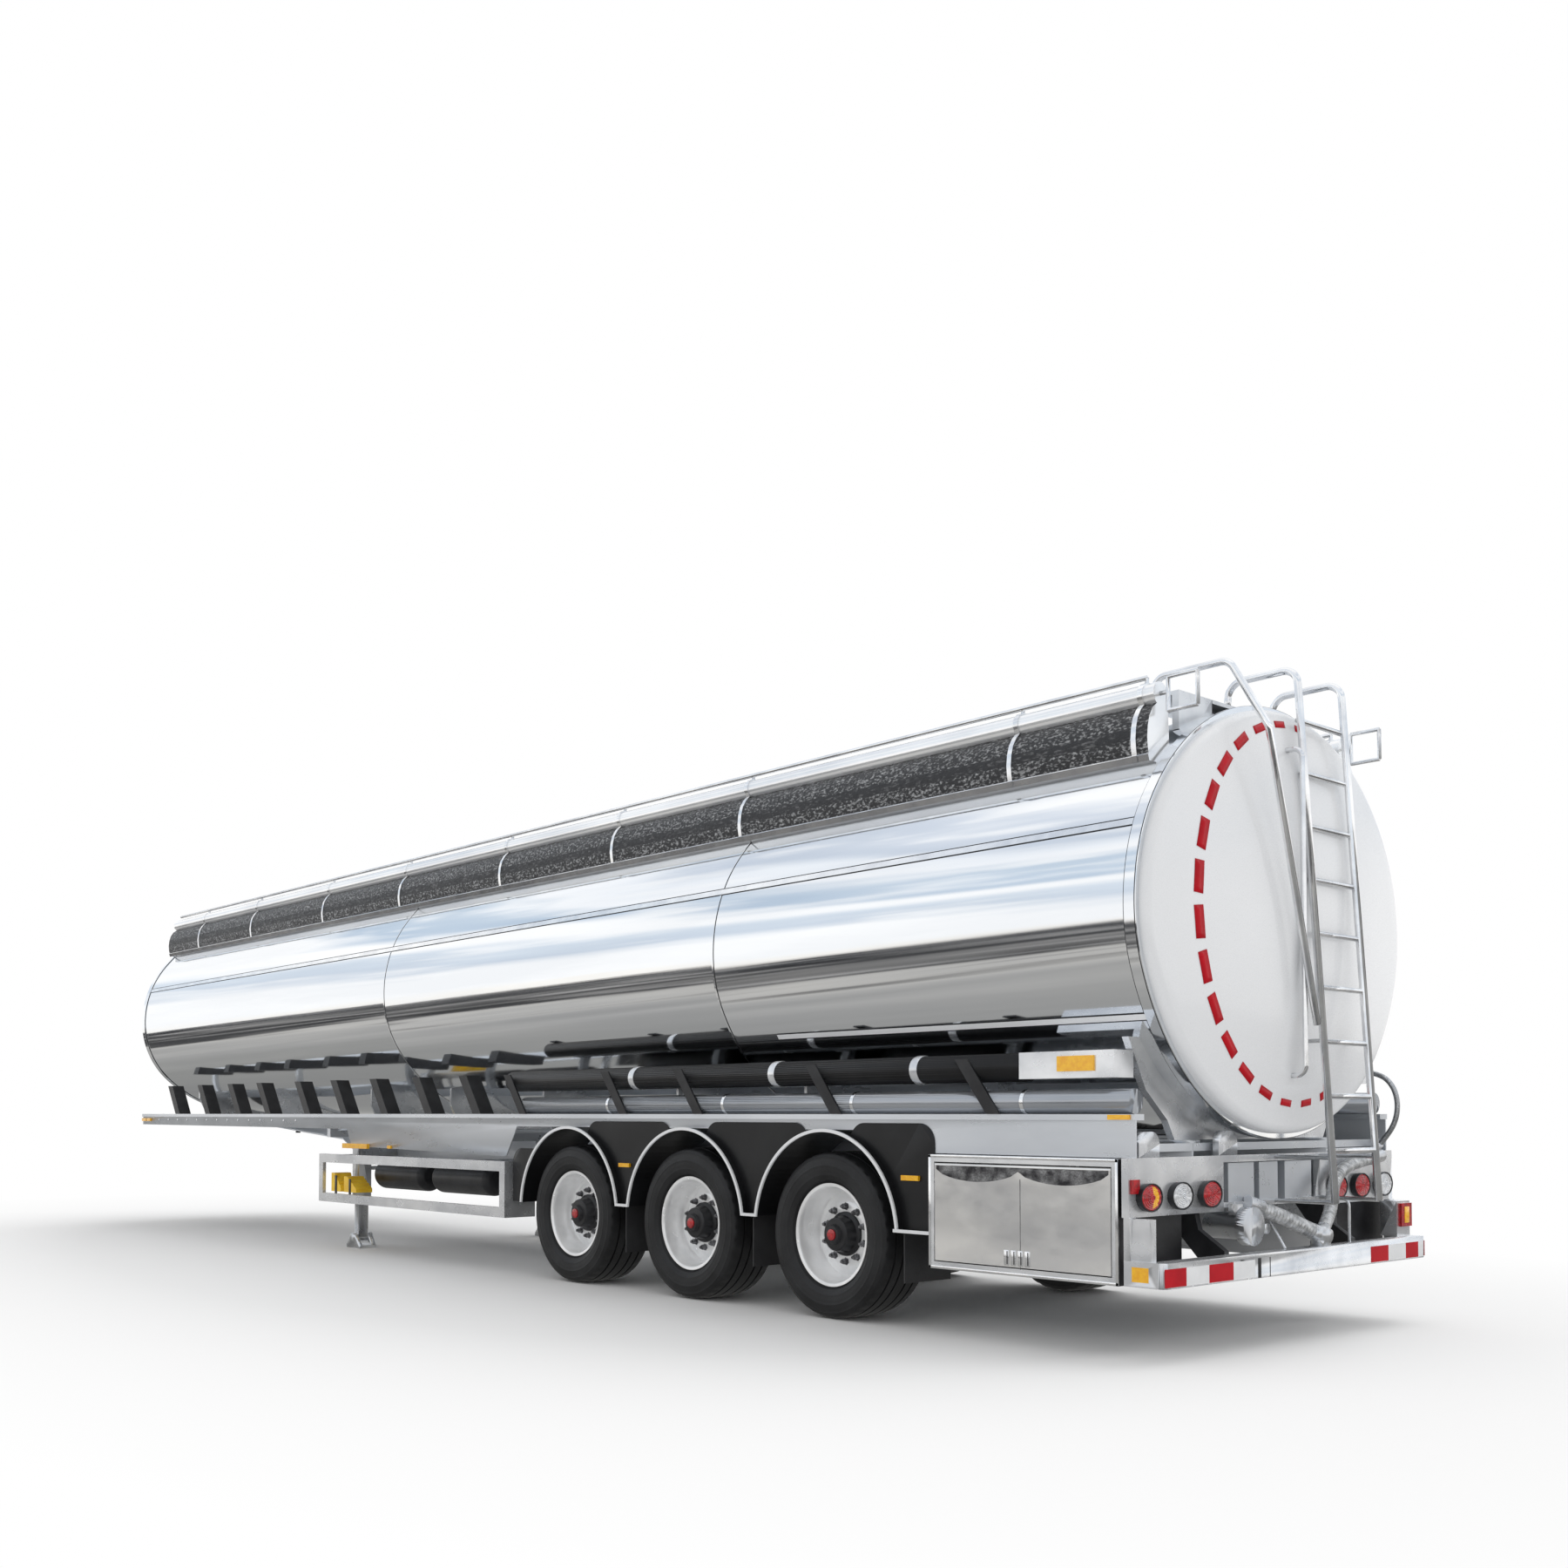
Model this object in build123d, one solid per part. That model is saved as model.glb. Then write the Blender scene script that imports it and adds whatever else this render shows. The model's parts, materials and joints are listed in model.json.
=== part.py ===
from build123d import *
import os
from collections import defaultdict
from math import atan2, cos, pi, radians, sin, tan

# Millimetres. X runs rearwards, Y to the right-hand side, Z up from the ground.
# Lengths along the trailer are stations, counted from the middle axle.

# Driving dimensions
overall_width = 2550
axle_spacing = 1310
front_reach = 9850
rear_reach = 3800
mid_axle_x = (front_reach - rear_reach) / 2
half_width = overall_width / 2

# Wheels
tyre_radius = 483
tyre_width = 385
rim_flange_radius = 298
rim_half_width = 158
bead_seat_radius = 289
wheel_y = half_width - 228
hub_bore_radius = 46
spindle_clearance = 1
axle_tube_radius = 73
axle_stations = [-axle_spacing, 0, axle_spacing]
arm_half_width = 40
hanger_half_width = 55
spring_radius = 125
spring_offset = 390
spring_foot_z = 492
chamber_radius = 75
chamber_z = 545

# Tank
end_depth = 170
tank_front_station = end_depth - front_reach
tank_rear_station = 3480
tank_half_width = half_width - 25
tank_widest_z = 2190
tank_top_height = 1130
tank_top_z = tank_widest_z + tank_top_height
tank_front_bottom_height = 1000
tank_rear_bottom_height = 1130
top_side_radius = 1000
bottom_side_radius = 850
end_inset = 18
end_straight = 45
end_knuckle = 40
ring_width = 70
ring_rise = 10
seam_stations = [-4085, 276]
seam_width = 45
seam_rise = 4

# Walkway on the tank
coaming_front_station = -9600
coaming_rear_station = 3380
coaming_foot_y = tank_half_width - 265
coaming_foot_z = tank_top_z - 395
coaming_belly_y = coaming_foot_y + 40
coaming_belly_z = coaming_foot_z + 175
coaming_inner_y = coaming_foot_y - 165
bead_radius = 60
bead_y = coaming_foot_y - 90
bead_z = tank_top_z - 45
strap_stations = [-8740, -7380, -5760, -4280, -2650, -1150, 260, 2500, 3300]
strap_width = 70
strap_rise = 8
plank_inner_y = 350
plank_width = 300
plank_top_z = tank_top_z + 32
plank_thickness = 20
manhole_stations = [-8060, -5020, -1900, 1380]
manhole_radius = 250
manhole_top_z = plank_top_z + 43
manhole_foot_z = tank_top_z - 120
lid_radius = 268
lid_thickness = 26
lid_gap = 6
ear_rise = 60
ear_faces = [(-60, -40), (40, 60)]
lid_strap_half = 34
lid_boss_radius = 14
hinge_offset = 300
hinge_z = manhole_top_z + 26
pin_radius = 6

# Chassis
rail_top_z = 1180
rail_outer_y = half_width - 60
rail_web_thickness = 10
rail_flange_depth = 70
rail_flange_height = 30
rail_front_station = -9730
rail_rear_station = 3440
beam_y = half_width - 625
beam_web_thickness = 12
beam_flange_width = 130
beam_flange_thickness = 16
beam_top_z = 1050
frame_rear_z = 970
frame_bar_height = 35
coupling_station = -8450
kingpin_radius = 25.4
kingpin_length = 84
coupling_plate_thickness = 12
leg_station = -4980
leg_y = half_width - 295
leg_case_half = 60
leg_case_foot_z = 420
leg_tube_radius = 58
leg_axle_radius = 36
leg_axle_z = 95
shoe_half_length = 120
shoe_half_width = 80
shoe_sole = 25

# Side boxes and guards
toolbox_front_station = 2150
toolbox_rear_station = 3380
toolbox_bottom_z = 360
toolbox_top_z = 965
toolbox_depth = 520
toolbox_wall = 12
toolbox_strip = 38
door_thickness = 22
door_gap = 6
hinge_rod_radius = 4
hinge_rod_clearance = 0.5
hinge_y = half_width - door_thickness / 2
hinge_rod_z = toolbox_top_z - toolbox_strip - door_gap - door_thickness / 2
guard_front_station = -5210
guard_rear_station = -2120
guard_bottom_z = 413
guard_top_z = 830
guard_bar = 75
guard_depth = 30
guard_hanger_y = beam_y + 150
air_tank_radius = 125
air_tank_y = half_width - 345
air_tank_z = 660

# Mudguards
guard_arc_radius = 600
fender_thickness = 8
fender_inner_y = half_width - 430
fender_centre_z = 490
fender_foot_z = 540
fender_valley = 35
web_over_wheels_z = fender_centre_z + guard_arc_radius
web_plate_thickness = 6
web_plate_top_z = 1130

# Pipes along the side
hose_tube_radius = 75
hose_tube_y = half_width - 127
hose_tube_z = 1421
lower_pipe_radius = 62
lower_pipe_y = half_width - 117
lower_pipe_z = rail_top_z + lower_pipe_radius

# Rear end
panel_station = 3440
panel_bottom_z = 687
panel_inner_y = half_width - 805
lamp_radius = 67
lamp_z = 780
lamp_spots_y = [half_width - 143, half_width - 400, half_width - 655]
cabinet_bottom_z = 732
cabinet_bar_height = 27
bumper_end_station = 3410
post_front_station = 3450
post_widths = {-1: 50, 1: 150}
outlet_y = -384
outlet_z = 612
drain_hose_radius = 38
branch_hose_radius = 32
loop_hose_radius = 15
bumper_face_station = 3640
bumper_depth = 90
bumper_bottom_z = 364
bumper_top_z = 485
bumper_corner = 40
pipe_y = -70
pipe_station = 3674
ladder_top_z = plank_top_z + 138
ladder_foot_z = 720
ladder_top_station = 3600
ladder_foot_station = rear_reach
ladder_left_y = 20
ladder_right_y = 470
stile_radius = 20
rung_radius = 15
rung_first_z = 990
rung_pitch = 283
rung_count = int((ladder_top_z - rung_first_z - 200) / rung_pitch) + 1
grab_station = 3180
grab_rise = 40
grab_bend = 90
stay_radius = 11
hoop_y = -500
hoop_front_station = 3060
hoop_radius = 19
hoop_bend = 80
stand_pipe_radius = 14

nodes = defaultdict(list)


def place(station):
    return mid_axle_x + station


def block(stations, sides, heights):
    """Box between two stations, two Y values and two heights."""
    (x0, x1), (y0, y1), (z0, z1) = stations, sides, heights
    middle = (place((x0 + x1) / 2), (y0 + y1) / 2, (z0 + z1) / 2)
    return Pos(*middle) * Box(abs(x1 - x0), abs(y1 - y0), abs(z1 - z0))


def rod(start, end, radius):
    """Round bar between two points given as (station, y, z)."""
    a = Vector(place(start[0]), start[1], start[2])
    b = Vector(place(end[0]), end[1], end[2])
    align = (Align.CENTER, Align.CENTER, Align.MIN)
    return Plane(origin=a, z_dir=b - a) * Cylinder(radius, (b - a).length, align=align)


def bent_tube(points, radius, bend):
    """Tube along points given as (station, y, z), with one bend radius."""
    path = FilletPolyline(*[(place(x), y, z) for x, y, z in points], radius=bend)
    section = Plane(origin=path @ 0, z_dir=path % 0) * Circle(radius)
    return sweep(section, path)


def side_plate(outline, y0, y1):
    """Plate lying in the XZ plane, from (station, z) corners, between two Y values."""
    corners = [(place(x), z) for x, z in outline]
    face = make_face(Polyline(*corners, close=True).edges())
    lying = Plane(origin=(0, min(y0, y1), 0), x_dir=(1, 0, 0), z_dir=(0, -1, 0)) * face
    return extrude(lying, amount=abs(y1 - y0), dir=(0, 1, 0))


def cross_plane(station):
    return Plane(origin=(place(station), 0, 0), x_dir=(0, 1, 0), z_dir=(1, 0, 0))


def both_sides(shape):
    return [shape, mirror(shape, about=Plane.XZ)]


def add(name, shapes):
    """File the solids of one shape, or of a list of them, under a node."""
    for shape in shapes if isinstance(shapes, (list, tuple)) else [shapes]:
        nodes[name].extend(shape.solids())


# Tank

def half_oval(half_wide, height, side_radius, up, grow=0):
    """Half of a four-centre oval about the widest line, closed along that line."""
    a = half_wide + grow
    b = height + grow
    r = side_radius + grow
    crown = ((a - r) ** 2 + b ** 2 - r ** 2) / (2 * (b - r))
    toward = Vector(a - r, crown - b).normalized()
    meet = Vector(a - r, 0) + toward * r
    quarter = atan2(toward.Y, toward.X) / 2
    shoulder = Vector(a - r + r * cos(quarter), r * sin(quarter))
    s = 1 if up else -1
    z = tank_widest_z
    right = ThreePointArc((a, z), (shoulder.X, z + s * shoulder.Y), (meet.X, z + s * meet.Y))
    top = ThreePointArc((meet.X, z + s * meet.Y), (0, z + s * b), (-meet.X, z + s * meet.Y))
    left = ThreePointArc((-meet.X, z + s * meet.Y), (-shoulder.X, z + s * shoulder.Y), (-a, z))
    return make_face([right, top, left, Line((-a, z), (a, z))])


def bottom_height(station):
    share = (station - tank_front_station) / (tank_rear_station - tank_front_station)
    return tank_front_bottom_height + share * (tank_rear_bottom_height - tank_front_bottom_height)


def tank_slice(front, rear, grow=0):
    """The tank's body between two stations, grown outwards."""
    top = half_oval(tank_half_width, tank_top_height, top_side_radius, True, grow)
    upper = extrude(cross_plane(front) * top, amount=rear - front, dir=(1, 0, 0))
    lows = []
    for station in (front, rear):
        low = half_oval(tank_half_width, bottom_height(station), bottom_side_radius, False, grow)
        lows.append(cross_plane(station) * low)
    return upper + loft(lows)


def dished_end(station, depth, toward):
    """Dished end: a sphere trims an oval plug, and the rim is rolled to a knuckle."""
    edge = tank_half_width - end_inset
    drop = depth - end_straight
    sphere_radius = (edge ** 2 + drop ** 2) / (2 * drop)
    ends = sorted((station, station + toward * depth * 1.5))
    plug = tank_slice_even(station, ends)
    centre = (place(station + toward * (depth - sphere_radius)), 0, tank_widest_z)
    dish = plug & (Pos(*centre) * Sphere(sphere_radius))
    rim = dish.faces().sort_by(Axis.X)[0 if toward < 0 else -1].outer_wire().edges()
    return fillet(rim, end_knuckle)


def tank_slice_even(station, ends):
    top = half_oval(tank_half_width, tank_top_height, top_side_radius, True, -end_inset)
    low = half_oval(tank_half_width, bottom_height(station), bottom_side_radius, False, -end_inset)
    whole = (cross_plane(ends[0]) * top) + (cross_plane(ends[0]) * low)
    return extrude(whole, amount=ends[1] - ends[0], dir=(1, 0, 0))


barrel = tank_slice(tank_front_station, tank_rear_station)
tank_space = barrel
for start in (tank_front_station, tank_rear_station - ring_width):
    barrel += tank_slice(start, start + ring_width, ring_rise)
for start in seam_stations:
    barrel += tank_slice(start - seam_width / 2, start + seam_width / 2, seam_rise)
add("tank_barrel", barrel)
rear_dome = dished_end(tank_rear_station, end_depth, 1)
add("rear_end", rear_dome)
add("front_end", dished_end(tank_front_station, end_depth, -1))


# Walkway

def coaming(grow=0):
    """Curved side fairing with a rolled bead along its top edge, in the cross plane."""
    foot = (coaming_foot_y + grow, coaming_foot_z)
    belly = (coaming_belly_y + grow, coaming_belly_z)
    lip = (bead_y + bead_radius * 0.9 + grow, bead_z)
    outline = [
        ThreePointArc(foot, belly, lip),
        Line(lip, (coaming_inner_y, bead_z)),
        Line((coaming_inner_y, bead_z), (coaming_inner_y, coaming_foot_z)),
        Line((coaming_inner_y, coaming_foot_z), foot),
    ]
    bead = Pos(bead_y, bead_z) * Circle(bead_radius + grow)
    return make_face(outline) + bead


def coaming_length(front, rear, grow=0):
    return extrude(cross_plane(front) * coaming(grow), amount=rear - front, dir=(1, 0, 0))


side_fairing = coaming_length(coaming_front_station, coaming_rear_station)
for station in strap_stations:
    start = station - strap_width / 2
    side_fairing += coaming_length(start, start + strap_width, strap_rise)
side_fairing -= barrel
add("coamings", both_sides(side_fairing))

plank_front = coaming_front_station + 300
plank_rear = coaming_rear_station - 60
plank_outer_y = plank_inner_y + plank_width
plank_bottom_z = plank_top_z - plank_thickness
walkway = block((plank_front, plank_rear), (plank_inner_y, plank_outer_y), (plank_bottom_z, plank_top_z))
for station in strap_stations:
    walkway += block((station - 20, station + 20), (plank_inner_y, plank_outer_y),
                     (tank_top_z - 170, plank_bottom_z))
add("walkway", both_sides(walkway - barrel))
deck_y = plank_inner_y - 5
add("walkway", block((plank_rear - 320, plank_rear), (-deck_y, deck_y), (plank_bottom_z, plank_top_z)))

for number, station in enumerate(manhole_stations, 1):
    pin_station = station - hinge_offset
    neck = Pos(place(station), 0, (manhole_foot_z + manhole_top_z) / 2)
    neck *= Cylinder(manhole_radius, manhole_top_z - manhole_foot_z)
    for ear in ear_faces:
        ear_foot_z = manhole_top_z - ear_rise
        neck += block((pin_station - 18, station - manhole_radius + 10), ear, (ear_foot_z, manhole_top_z - 5))
        neck += block((pin_station - 18, station - lid_radius - 8), ear, (ear_foot_z, hinge_z + 12))
    pin_ends = [(pin_station, y, hinge_z) for y in (ear_faces[0][0], ear_faces[-1][1])]
    neck += rod(*pin_ends, pin_radius)
    add("manhole_necks", neck - tank_space)
    lid_z = manhole_top_z + lid_gap
    lid = Pos(place(station), 0, lid_z + lid_thickness / 2) * Cylinder(lid_radius, lid_thickness)
    lid += block((pin_station, station + 120), (-lid_strap_half, lid_strap_half),
                 (lid_z + lid_thickness, hinge_z + lid_boss_radius))
    lid += rod((pin_station, -lid_strap_half, hinge_z), (pin_station, lid_strap_half, hinge_z),
               lid_boss_radius)
    lid -= rod(*pin_ends, pin_radius + 1)
    add(f"manhole_lid_{number}", lid)


# Top rails, ladder

rail_z = bead_z + bead_radius + 35
rail_ends = (coaming_front_station + 60, coaming_rear_station - 80)
top_rail = rod((rail_ends[0], bead_y, rail_z), (rail_ends[1], bead_y, rail_z), stay_radius + 2)
for station in strap_stations:
    top_rail += rod((station, bead_y, bead_z + bead_radius - 3), (station, bead_y, rail_z), stay_radius)
add("top_rails", both_sides(top_rail - side_fairing))

# Small guard frame behind each fairing
frame_front, frame_rear = coaming_rear_station + 45, coaming_rear_station + 215
frame_low, frame_high = bead_z - 95, rail_z - 20
end_frame = rod((coaming_rear_station, bead_y, bead_z), (frame_front, bead_y, bead_z), stay_radius)
for station in (frame_front, frame_rear):
    end_frame += rod((station, bead_y, frame_low), (station, bead_y, frame_high), stay_radius)
for z in (frame_low, frame_high):
    end_frame += rod((frame_front, bead_y, z), (frame_rear, bead_y, z), stay_radius)
add("top_rails", both_sides(end_frame))


def ladder_station(z):
    share = (ladder_top_z - z) / (ladder_top_z - ladder_foot_z)
    return ladder_top_station + share * (ladder_foot_station - ladder_top_station)


def stile_station(z):
    return ladder_station(z) - stile_radius


# Stays from the stiles to the frame and the tank: station, height
ladder_stays = [(panel_station, 955), (panel_station, 725), (3400, 2700), (3400, 1560)]
stile_ys = (ladder_left_y, ladder_right_y)
ladder = None
for y in stile_ys:
    stile = bent_tube([
        (grab_station, y, plank_top_z),
        (grab_station, y, ladder_top_z + grab_rise),
        (ladder_top_station - 3, y, ladder_top_z + grab_rise),
        (stile_station(ladder_foot_z), y, ladder_foot_z),
    ], stile_radius, grab_bend)
    ladder = stile if ladder is None else ladder + stile
for step in range(rung_count):
    z = rung_first_z + step * rung_pitch
    ladder += rod((stile_station(z), ladder_left_y, z), (stile_station(z), ladder_right_y, z), rung_radius)
for y in stile_ys:
    for station, z in ladder_stays:
        ladder += rod((station, y, z), (stile_station(z), y, z), stay_radius)
add("ladder", ladder - barrel - rear_dome)

hoop_foot_z = 1640
hoop = bent_tube([
    (hoop_front_station, hoop_y, plank_top_z),
    (hoop_front_station, hoop_y, ladder_top_z),
    (3520, hoop_y, ladder_top_z),
    (3700, hoop_y + 70, 3130),
    (stile_station(hoop_foot_z), ladder_left_y - stile_radius - hoop_radius - 3, hoop_foot_z),
], hoop_radius, hoop_bend)
add("rear_handrail", hoop - ladder)


# Chassis

web_outline = [
    (rail_front_station, rail_top_z), (rail_rear_station, rail_top_z),
    (rail_rear_station, frame_rear_z), (toolbox_front_station - 50, frame_rear_z),
    (toolbox_front_station - 60, web_over_wheels_z), (-2050, web_over_wheels_z),
    (-2200, 865), (-4700, 903), (-4745, 958), (-4800, 1050), (rail_front_station, 1066),
]
outer_y = rail_outer_y
side_rail = side_plate(web_outline, outer_y - rail_web_thickness, outer_y)
side_rail += block((rail_front_station, rail_rear_station), (outer_y - rail_flange_depth, outer_y + 12),
                   (rail_top_z - rail_flange_height, rail_top_z))
add("side_rails", both_sides(side_rail))


# Main beams, cranked behind the neck: station, underside, top
beam_line = [(-9500, 1070, 1150), (-7740, 1070, 1150), (-6300, 968, 1150), (-5900, 940, 1083),
             (-5700, 852, beam_top_z), (-5400, 720, beam_top_z), (3380, 720, beam_top_z)]


def beam_height(station, column):
    """Height of the beams' underside (column 1) or top (column 2) at a station."""
    for before, after in zip(beam_line, beam_line[1:]):
        if station <= after[0]:
            share = (station - before[0]) / (after[0] - before[0])
            return before[column] + share * (after[column] - before[column])
    return beam_line[-1][column]


half_flange = beam_flange_width / 2
lower = [(x, low) for x, low, high in beam_line]
upper = [(x, high) for x, low, high in beam_line]
raised = [(x, z + beam_flange_thickness) for x, z in lower]
sunk = [(x, z - beam_flange_thickness) for x, z in upper]
beam = side_plate(upper + lower[::-1], beam_y - beam_web_thickness / 2, beam_y + beam_web_thickness / 2)
for one_face, other_face in ((lower, raised), (sunk, upper)):
    beam += side_plate(one_face + other_face[::-1], beam_y - half_flange, beam_y + half_flange)
add("main_beams", both_sides(beam))

# Cross members: station, depth below the beams' top
cross_members = [(-9470, 40), (-7300, 50), (-5172, 200), (-3750, 200), (-2338, 200), (-655, 200), (655, 200),
                 (2050, 200), (3350, 40)]
arm_depth = 60
web_inner_y = outer_y - rail_web_thickness
for station, depth in cross_members:
    along = (station - 30, station + 30)
    top = beam_height(station, 2) - beam_flange_thickness
    web_faces = (beam_y - beam_web_thickness / 2, beam_y + beam_web_thickness / 2)
    add("cross_members", block(along, (-web_faces[0], web_faces[0]), (top - depth, top)))
    for side in (1, -1):
        arm = block(along, (side * web_faces[1], side * web_inner_y), (top - min(depth, arm_depth), top))
        if depth > arm_depth:
            arm += block(along, (side * (web_inner_y - 70), side * web_inner_y), (top - arm_depth, top + 70))
        add("cross_members", arm)

# Saddles that carry the tank on the frame
def cross_plate(half_outline, station, thickness):
    """Plate across the trailer, from the right-hand (y, z) corners of a symmetric outline."""
    outline = half_outline + [(-y, z) for y, z in reversed(half_outline)]
    face = make_face(Polyline(*outline, close=True).edges())
    return extrude(cross_plane(station - thickness / 2) * face, amount=thickness, dir=(1, 0, 0))


saddle_stations = [-9200, -7300, -5172, -3750, -2338, -655, 655, 2050]
for station in saddle_stations:
    foot_z = beam_height(station, 2)
    saddle_half = [(beam_y + 50, foot_z), (beam_y + 150, foot_z + 200), (beam_y + 150, 1500)]
    add("saddles", cross_plate(saddle_half, station, 24) - barrel)
bolster_station = 3300
bolster_half = [(beam_y + 70, beam_top_z), (beam_y + 130, 1150), (beam_y + 310, 1300), (beam_y + 450, 1560)]
add("saddles", cross_plate(bolster_half, bolster_station, 40) - barrel)

# Leaning bearers between the rails and the tank, ahead of the side tubes
bearer_stations = [-8900, -8080, -7300, -6600, -5740, -5000, -4250, -3500, -2750]
for station in bearer_stations:
    foot = [(station - 30, rail_top_z), (station + 90, rail_top_z), (station - 130, 1480),
            (station - 250, 1480)]
    for side in (1, -1):
        add("bearers", side_plate(foot, side * (rail_outer_y - 175), side * (rail_outer_y - 55)) - barrel)

# Coupling plate with the kingpin, landing legs
plate_top = beam_height(coupling_station, 1)
plate_bottom = plate_top - coupling_plate_thickness
plate_side = beam_y + half_flange
plate_ends = (coupling_station - 450, coupling_station + 700)
coupling = block(plate_ends, (-plate_side, plate_side), (plate_bottom, plate_top))
pin_middle = (place(coupling_station), 0, plate_bottom - kingpin_length / 2)
coupling += Pos(*pin_middle) * Cylinder(kingpin_radius, kingpin_length)
add("coupling_plate", coupling)

def leg_shoe(y):
    """Shoe with two cheeks that hold the foot's axle."""
    x0, x1 = leg_station - shoe_half_length, leg_station + shoe_half_length
    cheek_z, cheek_half = leg_axle_z + 25, 45
    outline = [(x0, 0), (x1, 0), (x1, shoe_sole), (leg_station + cheek_half, cheek_z),
               (leg_station - cheek_half, cheek_z), (x0, shoe_sole)]
    shoe = side_plate(outline, y - shoe_half_width, y + shoe_half_width)
    return shoe - block((x0 - 10, x1 + 10), (y - 50, y + 50), (shoe_sole, 200))


for side in (1, -1):
    y = side * leg_y
    axle_reach = shoe_half_width + 12
    leg = block((leg_station - leg_case_half, leg_station + leg_case_half),
                (y - leg_case_half, y + leg_case_half),
                (leg_case_foot_z, 970))
    leg += rod((leg_station, y, leg_axle_z), (leg_station, y, leg_case_foot_z), leg_tube_radius)
    leg += rod((leg_station, y - axle_reach, leg_axle_z), (leg_station, y + axle_reach, leg_axle_z),
               leg_axle_radius)
    leg += leg_shoe(y)
    leg += block((leg_station - 40, leg_station + 40), (y, side * (beam_y + beam_web_thickness / 2)),
                 (800, 960))
    add("landing_legs", leg)
shaft_y = leg_y - leg_case_half
add("landing_legs", rod((leg_station, -shaft_y, 700), (leg_station, shaft_y, 700), 18))

# Side guards
guard_hang_stations = [-5172, -2338]
hanger_top_z = beam_top_z - beam_flange_thickness - arm_depth
for side in (1, -1):
    y0, y1 = side * (half_width - guard_depth), side * half_width
    frame = block((guard_front_station, guard_rear_station), (y0, y1), (guard_bottom_z, guard_top_z))
    frame -= block((guard_front_station + guard_bar, guard_rear_station - guard_bar),
                   (side * (half_width - 175), side * (half_width + 125)),
                   (guard_bottom_z + guard_bar, guard_top_z - guard_bar))
    for station in guard_hang_stations:
        frame += block((station - 25, station + 25), (side * guard_hanger_y, y0),
                       (guard_top_z - 60, guard_top_z - 10))
        frame += block((station - 25, station + 25), (side * guard_hanger_y, side * (guard_hanger_y + 50)),
                       (guard_top_z - 60, hanger_top_z))
    frame += block((guard_rear_station - guard_depth, guard_rear_station), (side * (half_width - 265), y0),
                   (guard_bottom_z, guard_top_z))
    add("side_guards", frame)

# Air tanks on brackets from the main beams: front and rear station
for front, rear in [(-4640, -3800), (-3640, -2760)]:
    air_tank = rod((front, air_tank_y, air_tank_z), (rear, air_tank_y, air_tank_z), air_tank_radius)
    air_tank = fillet(air_tank.edges().filter_by(GeomType.CIRCLE), air_tank_radius / 2)
    for station in (front + 220, rear - 220):
        air_tank += block((station - 25, station + 25), (beam_y + beam_web_thickness / 2, air_tank_y - 40),
                          (air_tank_z + 85, air_tank_z + 115))
    add("air_tanks", both_sides(air_tank))


# Axles, suspension and wheels

def wheel_profile(points):
    """Closed outline of (distance outboard of the wheel's middle, radius) points."""
    return make_face(Polyline(*points, close=True).edges())


def turned(outline, station, side):
    """Turn an outline about the axle line, outboard towards one side."""
    plane = Plane(origin=(place(station), side * wheel_y, tyre_radius), x_dir=(0, side, 0),
                  z_dir=(side, 0, 0))
    return revolve(plane * outline, axis=Axis((place(station), 0, tyre_radius), (0, 1, 0)))


half_tyre = tyre_width / 2
tyre_outline = wheel_profile([
    (-146, bead_seat_radius), (-147, 300), (-half_tyre + 22, 312), (-half_tyre, 370),
    (-half_tyre + 12, 445), (-half_tyre + 38, 478),
    (0, tyre_radius), (half_tyre - 38, 478), (half_tyre - 12, 445), (half_tyre, 370), (half_tyre - 22, 312),
    (147, 300), (146, bead_seat_radius),
])
rim_outline = wheel_profile([
    (-rim_half_width, rim_flange_radius), (-rim_half_width, 274), (-60, 262), (30, 250), (30, 130), (52, 118),
    (52, 100), (150, 96), (150, 62), (138, 0.5), (120, 0.5), (120, hub_bore_radius), (-70, hub_bore_radius),
    (-70, 118), (8, 130), (8, 236), (10, 262), (rim_half_width - 12, 276), (rim_half_width, 276),
    (rim_half_width, rim_flange_radius), (rim_half_width - 8, rim_flange_radius), (148, bead_seat_radius),
    (-148, bead_seat_radius), (-rim_half_width + 8, rim_flange_radius),
])
names = {-1: "left", 1: "right"}
for number, station in enumerate(axle_stations, 1):
    axle = rod((station, -wheel_y + 90, tyre_radius), (station, wheel_y - 90, tyre_radius), axle_tube_radius)
    spindle = hub_bore_radius - spindle_clearance
    axle += rod((station, -wheel_y - 100, tyre_radius), (station, wheel_y + 100, tyre_radius), spindle)
    add("axles", axle)
    for side in (-1, 1):
        add(f"tyre_{names[side]}_{number}", turned(tyre_outline, station, side))
        add(f"rim_{names[side]}_{number}", turned(rim_outline, station, side))
        y = side * beam_y
        hanger = side_plate([(station - 600, 720), (station - 380, 720), (station - 430, 560),
                             (station - 540, 560)],
                            y - hanger_half_width, y + hanger_half_width)
        arm = side_plate([(station - 540, 600), (station - 420, 570), (station + 90, 562),
                          (station + 480, 470), (station + 480, 440), (station + 90, 400),
                          (station - 90, 400), (station - 540, 560)],
                         y - arm_half_width, y + arm_half_width)
        hanger -= arm
        arm -= rod((station, -wheel_y, tyre_radius), (station, wheel_y, tyre_radius), axle_tube_radius)
        add("suspension", [hanger, arm])
        chamber_y = side * (beam_y - arm_half_width - chamber_radius - 15)
        chamber = rod((station - 330, chamber_y, chamber_z), (station - 180, chamber_y, chamber_z),
                      chamber_radius)
        chamber += block((station - 290, station - 220), (chamber_y, side * (beam_y - arm_half_width)),
                         (chamber_z - 55, chamber_z + 5))
        add("suspension", chamber)
        spring_top_z = beam_height(station, 1)
        spring = Pos(place(station + spring_offset), y, (spring_foot_z + spring_top_z) / 2)
        add("air_springs", spring * Cylinder(spring_radius, spring_top_z - spring_foot_z) - arm)


# Mudguards over the wheels

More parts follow.
